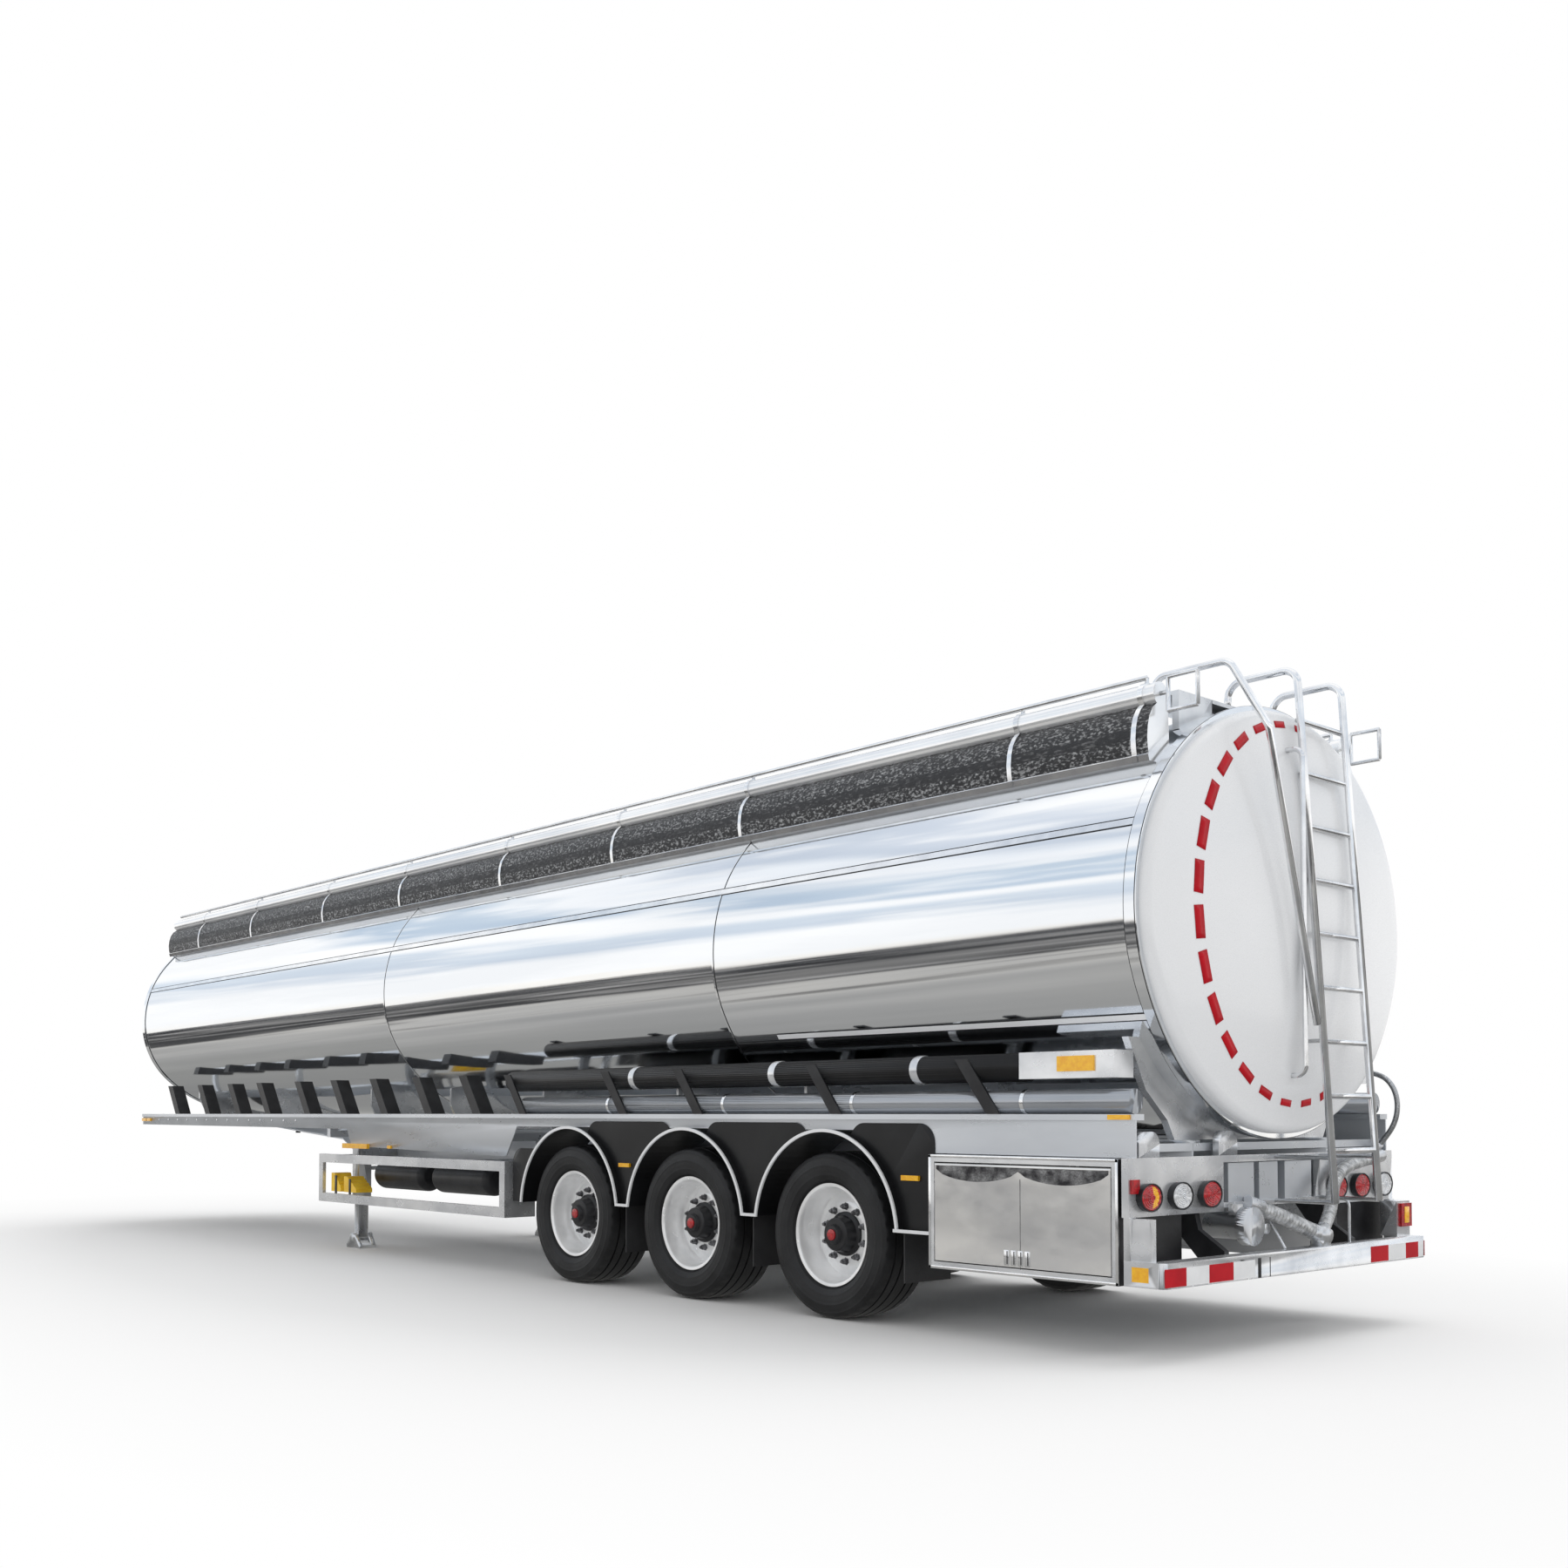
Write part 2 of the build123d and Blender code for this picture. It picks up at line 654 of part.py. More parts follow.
def fender_outline(grow):
    """Three arcs over the wheels, joined in the valleys between them, as a filled outline."""
    filled = Pos(place(0), fender_foot_z) * Rectangle(2 * axle_spacing, 2 * (fender_valley + grow))
    for station in axle_stations:
        filled += Pos(place(station), fender_centre_z) * Circle(guard_arc_radius + grow)
    return filled


def fender_strip(outside, inside, y0, y1):
    """The band between two grown outlines, above the feet, between two Y values."""
    below = Pos(place(0), fender_foot_z - 500) * Rectangle(6000, 1000)
    band = fender_outline(outside) - fender_outline(inside) - below
    ledge_front = axle_stations[-1] + guard_arc_radius - 30
    ledge_length = toolbox_front_station - ledge_front
    ledge = Pos(place(ledge_front + ledge_length / 2), fender_foot_z + (outside + inside) / 2 + 6)
    band += ledge * Rectangle(ledge_length, outside - inside)
    plane = Plane(origin=(0, min(y0, y1), 0), x_dir=(1, 0, 0), z_dir=(0, -1, 0))
    return extrude(plane * band, amount=abs(y1 - y0), dir=(0, 1, 0))


flap_stations = [axle_spacing / -2, axle_spacing / 2, axle_stations[-1] + 615]
flap_tops = [fender_foot_z + fender_valley - fender_thickness] * 2 + [fender_foot_z - 2]
for side in (1, -1):
    bead_inner = half_width - 12
    add("fenders", fender_strip(0, -fender_thickness, side * bead_inner, side * fender_inner_y))
    add("fender_beads", fender_strip(5, -13, side * half_width, side * bead_inner))
    for station, top in zip(flap_stations, flap_tops):
        add("mudflaps", block((station, station + 8),
                              (side * (fender_inner_y + 20), side * (half_width - 40)), (255, top)))

# Plates from the mudguards up to the rails: front and rear station, foot, top
ledge_top = fender_foot_z + 6
web_plates = [(-2090, -1640, fender_foot_z, 930), (-1130, -180, fender_foot_z, web_plate_top_z),
              (180, 1130, fender_foot_z, web_plate_top_z),
              (1490, toolbox_front_station - 8, ledge_top, web_plate_top_z)]
for front, rear, foot, top in web_plates:
    middle = Pos(place((front + rear) / 2), (foot + top) / 2)
    plate = middle * Rectangle(rear - front, top - foot)
    plate = fillet(plate.vertices().group_by(Axis.Y)[-1], 110)
    lying = Plane(origin=(0, rail_outer_y, 0), x_dir=(1, 0, 0),
                  z_dir=(0, -1, 0)) * (plate - fender_outline(0))
    add("fender_webs", both_sides(extrude(lying, amount=web_plate_thickness, dir=(0, 1, 0))))

# Toolboxes, each with a flap hung on a rod along its top edge
for side in (-1, 1):
    name = f"toolbox_{names[side]}"
    face = side * half_width
    sill = side * (half_width - door_thickness)
    back = side * (half_width - toolbox_depth)
    w = toolbox_wall
    front, rear = toolbox_front_station, toolbox_rear_station
    shell = block((front, rear), (face, back), (toolbox_bottom_z, toolbox_top_z))
    shell -= block((front + w, rear - w), (sill, back + side * w), (toolbox_bottom_z + w, toolbox_top_z - w))
    frame_front, frame_rear = front + toolbox_strip, rear - toolbox_strip
    low, high = toolbox_bottom_z + toolbox_strip, toolbox_top_z - toolbox_strip
    shell -= block((frame_front, frame_rear), (face + side, sill - side), (low, high))
    shell += rod((frame_front, side * hinge_y, hinge_rod_z), (frame_rear, side * hinge_y, hinge_rod_z),
                 hinge_rod_radius)
    add(name, shell)
    door_front, door_rear = frame_front + door_gap, frame_rear - door_gap
    door = block((door_front, door_rear), (face, sill), (low + door_gap, hinge_rod_z))
    door += rod((door_front, side * hinge_y, hinge_rod_z), (door_rear, side * hinge_y, hinge_rod_z),
                door_thickness / 2)
    bore = hinge_rod_radius + hinge_rod_clearance
    door -= rod((front, side * hinge_y, hinge_rod_z), (rear, side * hinge_y, hinge_rod_z), bore)
    add(f"{name}_door", door)
    for station in (front + 250, rear - 250):
        web_face = side * (beam_y + beam_web_thickness / 2)
        add("cross_members", block((station - 30, station + 30), (web_face, back), (760, 820)))

# Pipes along both sides, above the rails, held by leaning straps
strap_feet = [-1950, -700, 110, 1380, 2560]
for side in (-1, 1):
    y = side * hose_tube_y
    add("hose_tubes", rod((-2200, y, hose_tube_z), (2740, y, hose_tube_z), hose_tube_radius))
    add("lamp_boxes", block((2740, 3330), (side * (hose_tube_y - 73), side * (hose_tube_y + 84)),
                            (1358, 1493)))
    y = side * lower_pipe_y
    add("lower_pipes", rod((-2000, y, lower_pipe_z), (3400, y, lower_pipe_z), lower_pipe_radius))
    strap_y = hose_tube_y + hose_tube_radius
    for station in strap_feet:
        lean = [(station - 40, rail_top_z), (station + 50, rail_top_z), (station - 170, 1470),
                (station - 260, 1470)]
        add("tube_straps", side_plate(lean, side * strap_y, side * (strap_y + 12)))

# Rear end
panel_faces = (panel_station - 40, panel_station)
bar_foot_z = frame_rear_z - frame_bar_height
bumper_front = bumper_face_station - bumper_depth
for side in (-1, 1):
    post_inner_y = half_width - 13 - post_widths[side]
    panel = block(panel_faces, (side * panel_inner_y, side * half_width), (panel_bottom_z, bar_foot_z))
    panel += block((panel_station - 30, panel_station + 10), (side * (half_width - 45), side * half_width),
                   (bumper_top_z, panel_bottom_z))
    panel += block((panel_station + 10, bumper_front), (side * post_inner_y, side * (half_width - 13)),
                   (bumper_top_z, panel_bottom_z - 4))
    add("rear_frame", panel)
    for y in lamp_spots_y:
        add("tail_lamps", rod((panel_station, side * y, lamp_z), (panel_station + 28, side * y, lamp_z),
                              lamp_radius))
    arm = [(3180, 720), (3370, 720), (3400, 600), (bumper_front, 500), (bumper_front, bumper_bottom_z + 15),
           (3470, bumper_bottom_z + 15), (3300, 560)]
    add("bumper_arms", side_plate(arm, side * (beam_y - 50), side * (beam_y - 10)))
add("tail_lamps", block((panel_station, panel_station + 12), (12 - half_width, 76 - half_width),
                        (lamp_z + 20, lamp_z + 88)))
add("tail_lamps", block((bumper_front, bumper_front + 20), (half_width - 145, half_width - 25), (540, 672)))
top_bar = block(panel_faces, (-half_width, half_width), (bar_foot_z, frame_rear_z))
for y in (-1100, -420):
    arch = block((panel_station - 40, panel_station - 4), (y - 85, y + 85),
                 (frame_rear_z, frame_rear_z + 125))
    top_bar += fillet(arch.edges().filter_by(Axis.X).group_by(Axis.Z)[-1], 60)
add("rear_frame", top_bar)
cabinet_bar = block(panel_faces, (-panel_inner_y, panel_inner_y),
                    (cabinet_bottom_z - cabinet_bar_height, cabinet_bottom_z))
add("rear_frame", cabinet_bar)
for y0, y1 in [(-410, -170), (-120, 60), (130, 400)]:
    add("valve_boxes", block((3180, panel_station - 12), (y0, y1), (cabinet_bottom_z, 930)))
bumper = block((bumper_front, bumper_face_station), (-half_width, half_width),
               (bumper_bottom_z, bumper_top_z))
corners = bumper.edges().filter_by(Axis.Z).group_by(Axis.X)[-1]
bumper = fillet(corners, bumper_corner)
bumper -= block((bumper_face_station - 30, bumper_face_station + 5), (-beam_y + 10, -beam_y + 50), (390, 465))
for side in (-1, 1):
    outside = side * half_width
    bumper += block((bumper_end_station, bumper_front), (outside - side * 50, outside),
                    (bumper_bottom_z, bumper_top_z))
    recess = block((3455, 3550), (outside - side * 6, outside), (388, 458))
    bumper -= recess
    add("marker_lamps", recess)
add("bumper", bumper)

# Stays between the cabinet and the bumper
stay_station = bumper_front + 10
add("rear_frame", rod((panel_station - 20, -90, cabinet_bottom_z - cabinet_bar_height),
                      (stay_station, -95, bumper_top_z), 8)
    - cabinet_bar - bumper)
hook = bent_tube([(panel_station, 560, cabinet_bottom_z - 14), (stay_station, 560, cabinet_bottom_z - 14),
                  (stay_station, 560, bumper_top_z)], 8, 40)
add("rear_frame", hook)

# Outlet with its cap and valve, and the fork that joins the two drain hoses
outlet = rod((3300, outlet_y, outlet_z), (3505, outlet_y, outlet_z), 70)
outlet += rod((3505, outlet_y, outlet_z), (3560, outlet_y, outlet_z), 98)
outlet += block((3320, 3380), (outlet_y - 30, outlet_y + 30), (outlet_z + 60, cabinet_bottom_z))
outlet += block((3450, 3500), (outlet_y - 62, outlet_y - 8), (outlet_z + 55, outlet_z + 112))
outlet += rod((3400, outlet_y, 590), (3400, -197, 590), 20)
outlet += rod((3385, -197, 590), (3520, -197, 590), 27)
outlet += rod((3490, -197, 590), (3490, -167, 616), 10)
add("outlet_valves", outlet)

# Routes of the hoses, from their sockets to the fork or the frame: station, y, z
drain_route = [(3484, -205, 692), (3520, -92, 655), (3553, 25, 610), (3580, 135, 566)]
branch_route = [(3480, 950, 930), (3490, 800, 915), (3500, 660, 893), (3512, 540, 858), (3528, 450, 790),
                (3548, 402, 706), (3570, 325, 632), (3588, 240, 578)]
loop_route = [(3352, 1150, 1424), (3440, 1153, 1412), (3508, 1162, 1350), (3535, 1170, 1262),
              (3530, 1168, 1168),
              (3497, 1158, 1080), (3440, 1146, 1010)]


def hose(route, radius):
    """Tube along a route, with each arc as large as its two runs allow."""
    path_points = [Vector(place(x), y, z) for x, y, z in route]
    runs = [b - a for a, b in zip(path_points, path_points[1:])]
    bends = []
    for one, other in zip(runs, runs[1:]):
        half_turn = radians(one.get_angle(other)) / 2
        bends.append(0.45 * min(one.length, other.length) / tan(half_turn))
    path = FilletPolyline(*path_points, radius=bends)
    tube = sweep(Plane(origin=path @ 0, z_dir=path % 0) * Circle(radius), path)
    print("hose radii", [round(bend) for bend in bends], "length", round(path.length),
          "volume share", round(tube.volume / (path.length * pi * radius ** 2), 4))
    return tube


def beyond(start, toward, distance):
    """The point past start, on the line that comes from toward."""
    a, b = Vector(*start), Vector(*toward)
    return tuple(a + (a - b).normalized() * distance)


add("drain_hose", hose(drain_route, drain_hose_radius))
add("branch_hose", hose(branch_route, branch_hose_radius))
add("loop_hose", hose(loop_route, loop_hose_radius))
drain_socket = rod(drain_route[0], beyond(drain_route[0], drain_route[1], 95), drain_hose_radius + 8)
drain_socket -= cabinet_bar
for cabinet_box in nodes["valve_boxes"]:
    drain_socket -= cabinet_box
add("outlet_valves", drain_socket)
branch_socket = rod(branch_route[0], beyond(branch_route[0], branch_route[1], 130), branch_hose_radius + 6)
for piece in nodes["rear_frame"]:
    branch_socket -= piece
add("outlet_valves", branch_socket)
fork_centre = (3597, 190, 545)
fork = Pos(place(fork_centre[0]), *fork_centre[1:]) * Sphere(50)
for route, radius in ((drain_route, drain_hose_radius), (branch_route, branch_hose_radius)):
    fork += rod(route[-1], beyond(route[-1], route[-2], 62), radius + 5)
fork += rod(fork_centre, (3652, 188, 541), 36)
fork += block((3560, 3636), (150, 230), (bumper_top_z, 515))
add("outlet_valves", fork)
add("lamp_boxes", rod(beyond(loop_route[0], loop_route[1], 22), loop_route[0], 22))
loop_foot = block((3403, 3437), (1122, 1162), (frame_rear_z, frame_rear_z + 24))
loop_foot += rod(loop_route[-1], beyond(loop_route[-1], loop_route[-2], 36), 21) - top_bar
add("outlet_valves", loop_foot)

# Marker lamps on both sides: front and rear station, face they sit on, thickness, bottom, top
plate_face = rail_outer_y + web_plate_thickness
lamp_box_face = hose_tube_y + 84
marker_lamps = [
    (-9722, -9600, rail_outer_y, 18, 1102, 1134), (-9570, -9470, rail_outer_y, 18, 1102, 1134),
    (-4840, -4380, rail_outer_y, 24, 884, 926), (-4040, -3980, rail_outer_y, 14, 892, 918),
    (-740, -620, plate_face, 16, 824, 850), (1905, 2035, plate_face, 16, 817, 845),
    (2990, 3215, lamp_box_face, 10, 1392, 1468), (3290, 3420, rail_outer_y + 12, 8, 1153, 1177),
]
for front, rear, face, thickness, low, high in marker_lamps:
    add("marker_lamps", both_sides(block((front, rear), (face, face + thickness), (low, high))))

# Stand pipe beside the ladder, on elbows that meet the tank's end
stand_pipe = bent_tube([(3400, pipe_y, 3080), (pipe_station, pipe_y, 3080), (pipe_station, pipe_y, 1380),
                        (3400, pipe_y, 1380)], stand_pipe_radius, 50)
add("stand_pipe", stand_pipe - rear_dome - barrel)

os.makedirs("parts", exist_ok=True)
for name, solids in nodes.items():
    export_step(Compound(children=solids), f"parts/{name}.step")
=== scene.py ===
import json
import math
import bmesh
import bpy
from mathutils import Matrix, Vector

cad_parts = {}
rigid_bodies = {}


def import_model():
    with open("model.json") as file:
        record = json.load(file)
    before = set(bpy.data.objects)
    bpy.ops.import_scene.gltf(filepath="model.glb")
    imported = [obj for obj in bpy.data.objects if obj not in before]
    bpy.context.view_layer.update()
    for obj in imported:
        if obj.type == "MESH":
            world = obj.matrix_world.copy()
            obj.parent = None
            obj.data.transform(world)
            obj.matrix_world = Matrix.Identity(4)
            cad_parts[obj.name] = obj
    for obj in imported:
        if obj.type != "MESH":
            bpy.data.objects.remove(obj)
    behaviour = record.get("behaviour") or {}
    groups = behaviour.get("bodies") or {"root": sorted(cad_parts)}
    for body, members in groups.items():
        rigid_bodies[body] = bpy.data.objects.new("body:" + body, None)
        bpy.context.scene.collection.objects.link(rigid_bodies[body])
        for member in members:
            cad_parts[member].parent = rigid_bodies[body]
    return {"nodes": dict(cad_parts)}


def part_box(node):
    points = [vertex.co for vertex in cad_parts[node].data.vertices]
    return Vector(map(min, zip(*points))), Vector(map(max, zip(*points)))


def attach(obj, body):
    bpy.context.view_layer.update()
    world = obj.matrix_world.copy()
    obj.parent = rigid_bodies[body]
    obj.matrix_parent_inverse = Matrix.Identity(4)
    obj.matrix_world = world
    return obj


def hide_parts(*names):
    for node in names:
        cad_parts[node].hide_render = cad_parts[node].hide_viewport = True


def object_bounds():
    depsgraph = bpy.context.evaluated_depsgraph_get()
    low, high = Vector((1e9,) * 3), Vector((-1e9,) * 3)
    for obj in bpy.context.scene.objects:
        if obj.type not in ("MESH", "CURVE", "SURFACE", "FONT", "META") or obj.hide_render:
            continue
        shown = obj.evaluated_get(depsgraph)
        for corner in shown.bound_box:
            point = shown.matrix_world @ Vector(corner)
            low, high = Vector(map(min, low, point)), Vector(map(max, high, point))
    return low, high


scene = bpy.context.scene
for leftover in list(bpy.data.objects):
    bpy.data.objects.remove(leftover)
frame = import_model()
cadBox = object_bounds()
nodes = frame["nodes"]
rimLow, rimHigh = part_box("rim_left_2")
midAxleX = (rimLow.x + rimHigh.x) / 2     # stations are counted from the middle axle, in metres
halfWidth = cadBox[1].y
wheelRadius = 0.483
wheelSide = 1.047
axleStations = [-1.310, 0.0, 1.310]
print("frame loaded:", len(nodes), "nodes")


def at(station, y, z):
    return Vector((midAxleX + station, y, z))


# Camera
cameraView = {"station": 7.9188, "side": -7.4435, "height": 1.1819, "azimuth": 48.345, "pitch": 2.004,
              "lens": 35.994, "shiftUp": 0.1753}
cameraData = bpy.data.cameras.new("viewCamera")
cameraData.lens = cameraView["lens"]
cameraData.sensor_width = 36
cameraData.shift_y = cameraView["shiftUp"]
cameraData.clip_end = 400
viewCamera = bpy.data.objects.new("viewCamera", cameraData)
viewCamera.location = at(cameraView["station"], cameraView["side"], cameraView["height"])
viewCamera.rotation_euler = (math.radians(90 + cameraView["pitch"]), 0, math.radians(cameraView["azimuth"]))
scene.collection.objects.link(viewCamera)
scene.camera = viewCamera
scene.view_settings.view_transform = "Standard"


# Node helpers for the finishes

def node(tree, kind, **settings):
    made = tree.nodes.new(kind)
    for key, value in settings.items():
        setattr(made, key, value)
    return made


def noiseOf(tree, vector, scale, detail=4.0, rough=0.55):
    noise = node(tree, "ShaderNodeTexNoise")
    tree.links.new(vector, noise.inputs["Vector"])
    noise.inputs["Scale"].default_value = scale
    noise.inputs["Detail"].default_value = detail
    noise.inputs["Roughness"].default_value = rough
    return noise.outputs[0]


def spreadOf(tree, value, fromLow, fromHigh, toLow, toHigh):
    spread = node(tree, "ShaderNodeMapRange")
    tree.links.new(value, spread.inputs["Value"])
    for key, number in zip(("From Min", "From Max", "To Min", "To Max"), (fromLow, fromHigh, toLow, toHigh)):
        spread.inputs[key].default_value = number
    return spread.outputs["Result"]


def rampOf(tree, value, stops):
    ramp = node(tree, "ShaderNodeValToRGB")
    elements = ramp.color_ramp.elements
    elements[0].position, elements[0].color = stops[0][0], (*stops[0][1], 1)
    elements[1].position, elements[1].color = stops[-1][0], (*stops[-1][1], 1)
    for position, colour in stops[1:-1]:
        elements.new(position).color = (*colour, 1)
    tree.links.new(value, ramp.inputs["Fac"])
    return ramp.outputs["Color"]


def stretched(tree, stretch):
    place = node(tree, "ShaderNodeTexCoord")
    mapping = node(tree, "ShaderNodeMapping")
    mapping.inputs["Scale"].default_value = stretch
    tree.links.new(place.outputs["Object"], mapping.inputs["Vector"])
    return mapping.outputs["Vector"]


def makeFinish(name, base, shade, metallic, roughness, patchScale, grainScale, extra):
    material = bpy.data.materials.new(name)
    material.use_nodes = True
    tree = material.node_tree
    shader = tree.nodes["Principled BSDF"]
    stretch = extra.get("stretch", (1, 1, 1))
    patches = noiseOf(tree, stretched(tree, stretch), patchScale, extra.get("detail", 5.0))
    low, high = extra.get("spread", (0.38, 0.62))
    tree.links.new(rampOf(tree, patches, [(low, shade), (high, base)]), shader.inputs["Base Color"])
    shader.inputs["Metallic"].default_value = metallic
    grain = noiseOf(tree, stretched(tree, extra.get("grainStretch", stretch)), grainScale, 3.0)
    tree.links.new(spreadOf(tree, grain, 0.3, 0.7, *roughness), shader.inputs["Roughness"])
    if "bump" in extra:
        bump = node(tree, "ShaderNodeBump")
        bump.inputs["Strength"].default_value = 1.0
        bump.inputs["Distance"].default_value = extra["bump"]
        relief = grain
        if "wave" in extra:
            relief = noiseOf(tree, stretched(tree, extra["waveStretch"]), extra["wave"], 2.0)
        tree.links.new(relief, bump.inputs["Height"])
        tree.links.new(bump.outputs["Normal"], shader.inputs["Normal"])
    if "specular" in extra:
        shader.inputs["Specular IOR Level"].default_value = extra["specular"]
    if "coat" in extra:
        shader.inputs["Coat Weight"].default_value = extra["coat"]
        shader.inputs["Coat Roughness"].default_value = 0.06
    return material


# Each look: record slot, base and shade colours, metallic share, roughness range, scales of its patches
# and grain, and what else it has
finishes = {
    "polishedTank": ("polished_tank", (0.86, 0.875, 0.89), (0.78, 0.8, 0.825), 1.0, (0.05, 0.095), 2.2,
        6.0, {"stretch": (0.1, 1.5, 1.5), "bump": 0.006, "wave": 0.9, "waveStretch": (0.16, 1.0, 1.3)}),
    "ringPolish": ("polished_tank", (0.88, 0.885, 0.89), (0.74, 0.75, 0.77), 1.0, (0.12, 0.22), 6.0,
        16.0, {}),
    "whitePaint": ("white_paint", (0.8, 0.81, 0.825), (0.765, 0.775, 0.79), 0.0, (0.22, 0.34), 0.8,
        300.0, {"bump": 4e-05, "coat": 0.4}),
    "satinAluminium": ("satin_aluminium", (0.72, 0.73, 0.74), (0.55, 0.56, 0.58), 0.9, (0.25, 0.38),
        4.0, 16.0, {}),
    "frameAluminium": ("frame_aluminium", (0.7, 0.725, 0.76), (0.58, 0.605, 0.64), 0.65, (0.26, 0.36),
        1.6, 11.0, {"stretch": (0.25, 1, 1)}),
    "brightTube": ("bright_tube", (0.88, 0.885, 0.89), (0.7, 0.71, 0.73), 1.0, (0.1, 0.18), 5.0, 14.0,
        {}),
    "panelBright": ("bright_tube", (0.84, 0.85, 0.865), (0.62, 0.635, 0.66), 0.7, (0.22, 0.3), 3.4, 9.0,
        {"stretch": (0.6, 1, 1)}),
    "nutSteel": ("dark_steel", (0.2, 0.2, 0.21), (0.08, 0.08, 0.085), 0.7, (0.25, 0.42), 30.0, 160.0,
        {"bump": 0.0002}),
    # dark strip colour for the tool box doors: painted reflection of the underside
    "shadedAluminium": ("bright_tube", (0.3, 0.305, 0.315), (0.05, 0.05, 0.055), 0.9, (0.12, 0.26),
        14.0, 90.0, {"bump": 0.0006}),
    # dark coaming band colours: painted shade of a recessed band, the darker stripe also painted shade
    "coamingPaintedShade": ("polished_tank", (0.46, 0.47, 0.48), (0.012, 0.012, 0.014), 0.0, (0.35, 0.6), 82.0,
        90.0,
        {"stretch": (0.55, 1, 1), "detail": 7.0, "spread": (0.5, 0.74), "grainStretch": (0.5, 1, 1),
         "bump": 0.003}),
    "coamingDeeperPaintedShade": ("polished_tank", (0.16, 0.16, 0.165), (0.008, 0.008, 0.01), 0.0, (0.35, 0.6), 70.0,
        90.0,
        {"stretch": (0.35, 1, 1), "detail": 7.0, "spread": (0.54, 0.78), "grainStretch": (0.5, 1, 1),
         "bump": 0.003}),
    "ribbedHose": ("braided_hose", (0.66, 0.665, 0.67), (0.34, 0.345, 0.35), 0.6, (0.3, 0.48), 26.0,
        200.0, {"bump": 0.0008}),
    "boxPolish": ("bright_tube", (0.88, 0.87, 0.85), (0.7, 0.7, 0.7), 0.55, (0.08, 0.16), 2.5, 14.0,
        {"stretch": (0.6, 1, 1), "bump": 0.003, "wave": 3.2, "waveStretch": (0.8, 1.0, 1.0)}),
    # very dark steel: its darkness is partly real dark steel and partly painted shade of the trailer's
    # underside
    "darkSteel": ("dark_steel", (0.022, 0.0225, 0.025), (0.01, 0.01, 0.012), 0.0, (0.3, 0.46), 6.0,
        120.0, {"specular": 0.35, "bump": 0.0002}),
    "springRubber": ("spring_rubber", (0.028, 0.028, 0.03), (0.018, 0.018, 0.02), 0.0, (0.5, 0.7), 5.0,
        160.0, {"bump": 0.0003}),
    "blackPlastic": ("black_plastic", (0.012, 0.0122, 0.0135), (0.006, 0.006, 0.007), 0.0, (0.28, 0.42),
        2.5, 140.0, {"specular": 0.3, "bump": 0.0002}),
    "tyreRubber": ("tyre_rubber", (0.019, 0.0195, 0.021), (0.01, 0.01, 0.011), 0.0, (0.45, 0.62), 4.0,
        220.0, {"specular": 0.3, "bump": 0.0003}),
    "polishedRim": ("polished_rim", (0.95, 0.952, 0.955), (0.8, 0.805, 0.81), 0.25, (0.16, 0.28), 5.0,
        12.0, {}),
    "redLens": ("red_lens", (0.52, 0.004, 0.01), (0.26, 0.002, 0.006), 0.0, (0.08, 0.18), 40.0, 260.0,
        {"bump": 0.0012, "coat": 0.6}),
    "amberLens": ("amber_lens", (0.95, 0.52, 0.01), (0.86, 0.4, 0.005), 0.0, (0.1, 0.22), 40.0, 260.0,
        {"bump": 0.001, "coat": 0.5}),
    "clearLens": ("satin_aluminium", (0.82, 0.83, 0.84), (0.52, 0.53, 0.55), 0.3, (0.1, 0.22), 45.0,
        240.0, {"bump": 0.0014, "coat": 0.6}),
    "redTape": ("red_lens", (0.5, 0.003, 0.012), (0.42, 0.002, 0.01), 0.0, (0.28, 0.38), 9.0, 500.0,
        {"specular": 0.15, "bump": 0.0001}),
    "whiteTape": ("white_paint", (0.78, 0.79, 0.8), (0.72, 0.73, 0.74), 0.0, (0.28, 0.38), 9.0, 500.0,
        {"bump": 0.0001}),
    "greyPipe": ("satin_aluminium", (0.4, 0.42, 0.45), (0.3, 0.32, 0.345), 0.6, (0.16, 0.24), 2.0, 8.0,
        {"stretch": (0.3, 1, 1)}),
    "beadPolish": ("polished_tank", (0.94, 0.945, 0.95), (0.8, 0.81, 0.83), 0.65, (0.12, 0.2), 2.5,
        10.0, {"stretch": (0.4, 1, 1)}),
    "braidedHose": ("braided_hose", (0.62, 0.63, 0.64), (0.2, 0.205, 0.21), 1.0, (0.22, 0.4), 220.0,
        420.0, {"bump": 0.0006}),
    "chockYellow": ("amber_lens", (0.95, 0.62, 0.02), (0.85, 0.5, 0.01), 0.0, (0.4, 0.55), 12.0, 150.0,
        {"bump": 0.0003}),
}
materials = {name: makeFinish(name, *look[1:]) for name, look in finishes.items()}
print("finishes made:", len(materials))


# Mesh helpers

def placePiece(name, mesh, finishNames, body="trailer", stands=(), sharpAngle=30):
    for polygon in mesh.polygons:
        polygon.use_smooth = True
    mesh.set_sharp_from_angle(angle=math.radians(sharpAngle))
    if isinstance(finishNames, str):
        finishNames = [finishNames]
    if mesh.materials:
        mesh.materials.clear()
    for finishName in finishNames:
        mesh.materials.append(materials[finishName])
    piece = bpy.data.objects.new(name, mesh)
    scene.collection.objects.link(piece)
    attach(piece, body)
    if stands:
        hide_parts(*stands)
    return piece


def meshFrom(name, bm):
    mesh = bpy.data.meshes.new(name)
    bm.to_mesh(mesh)
    bm.free()
    return mesh


def placeBm(name, bm, finishNames, body="trailer", sharpAngle=30):
    bmesh.ops.recalc_face_normals(bm, faces=bm.faces)
    return placePiece(name, meshFrom(name, bm), finishNames, body, (), sharpAngle)


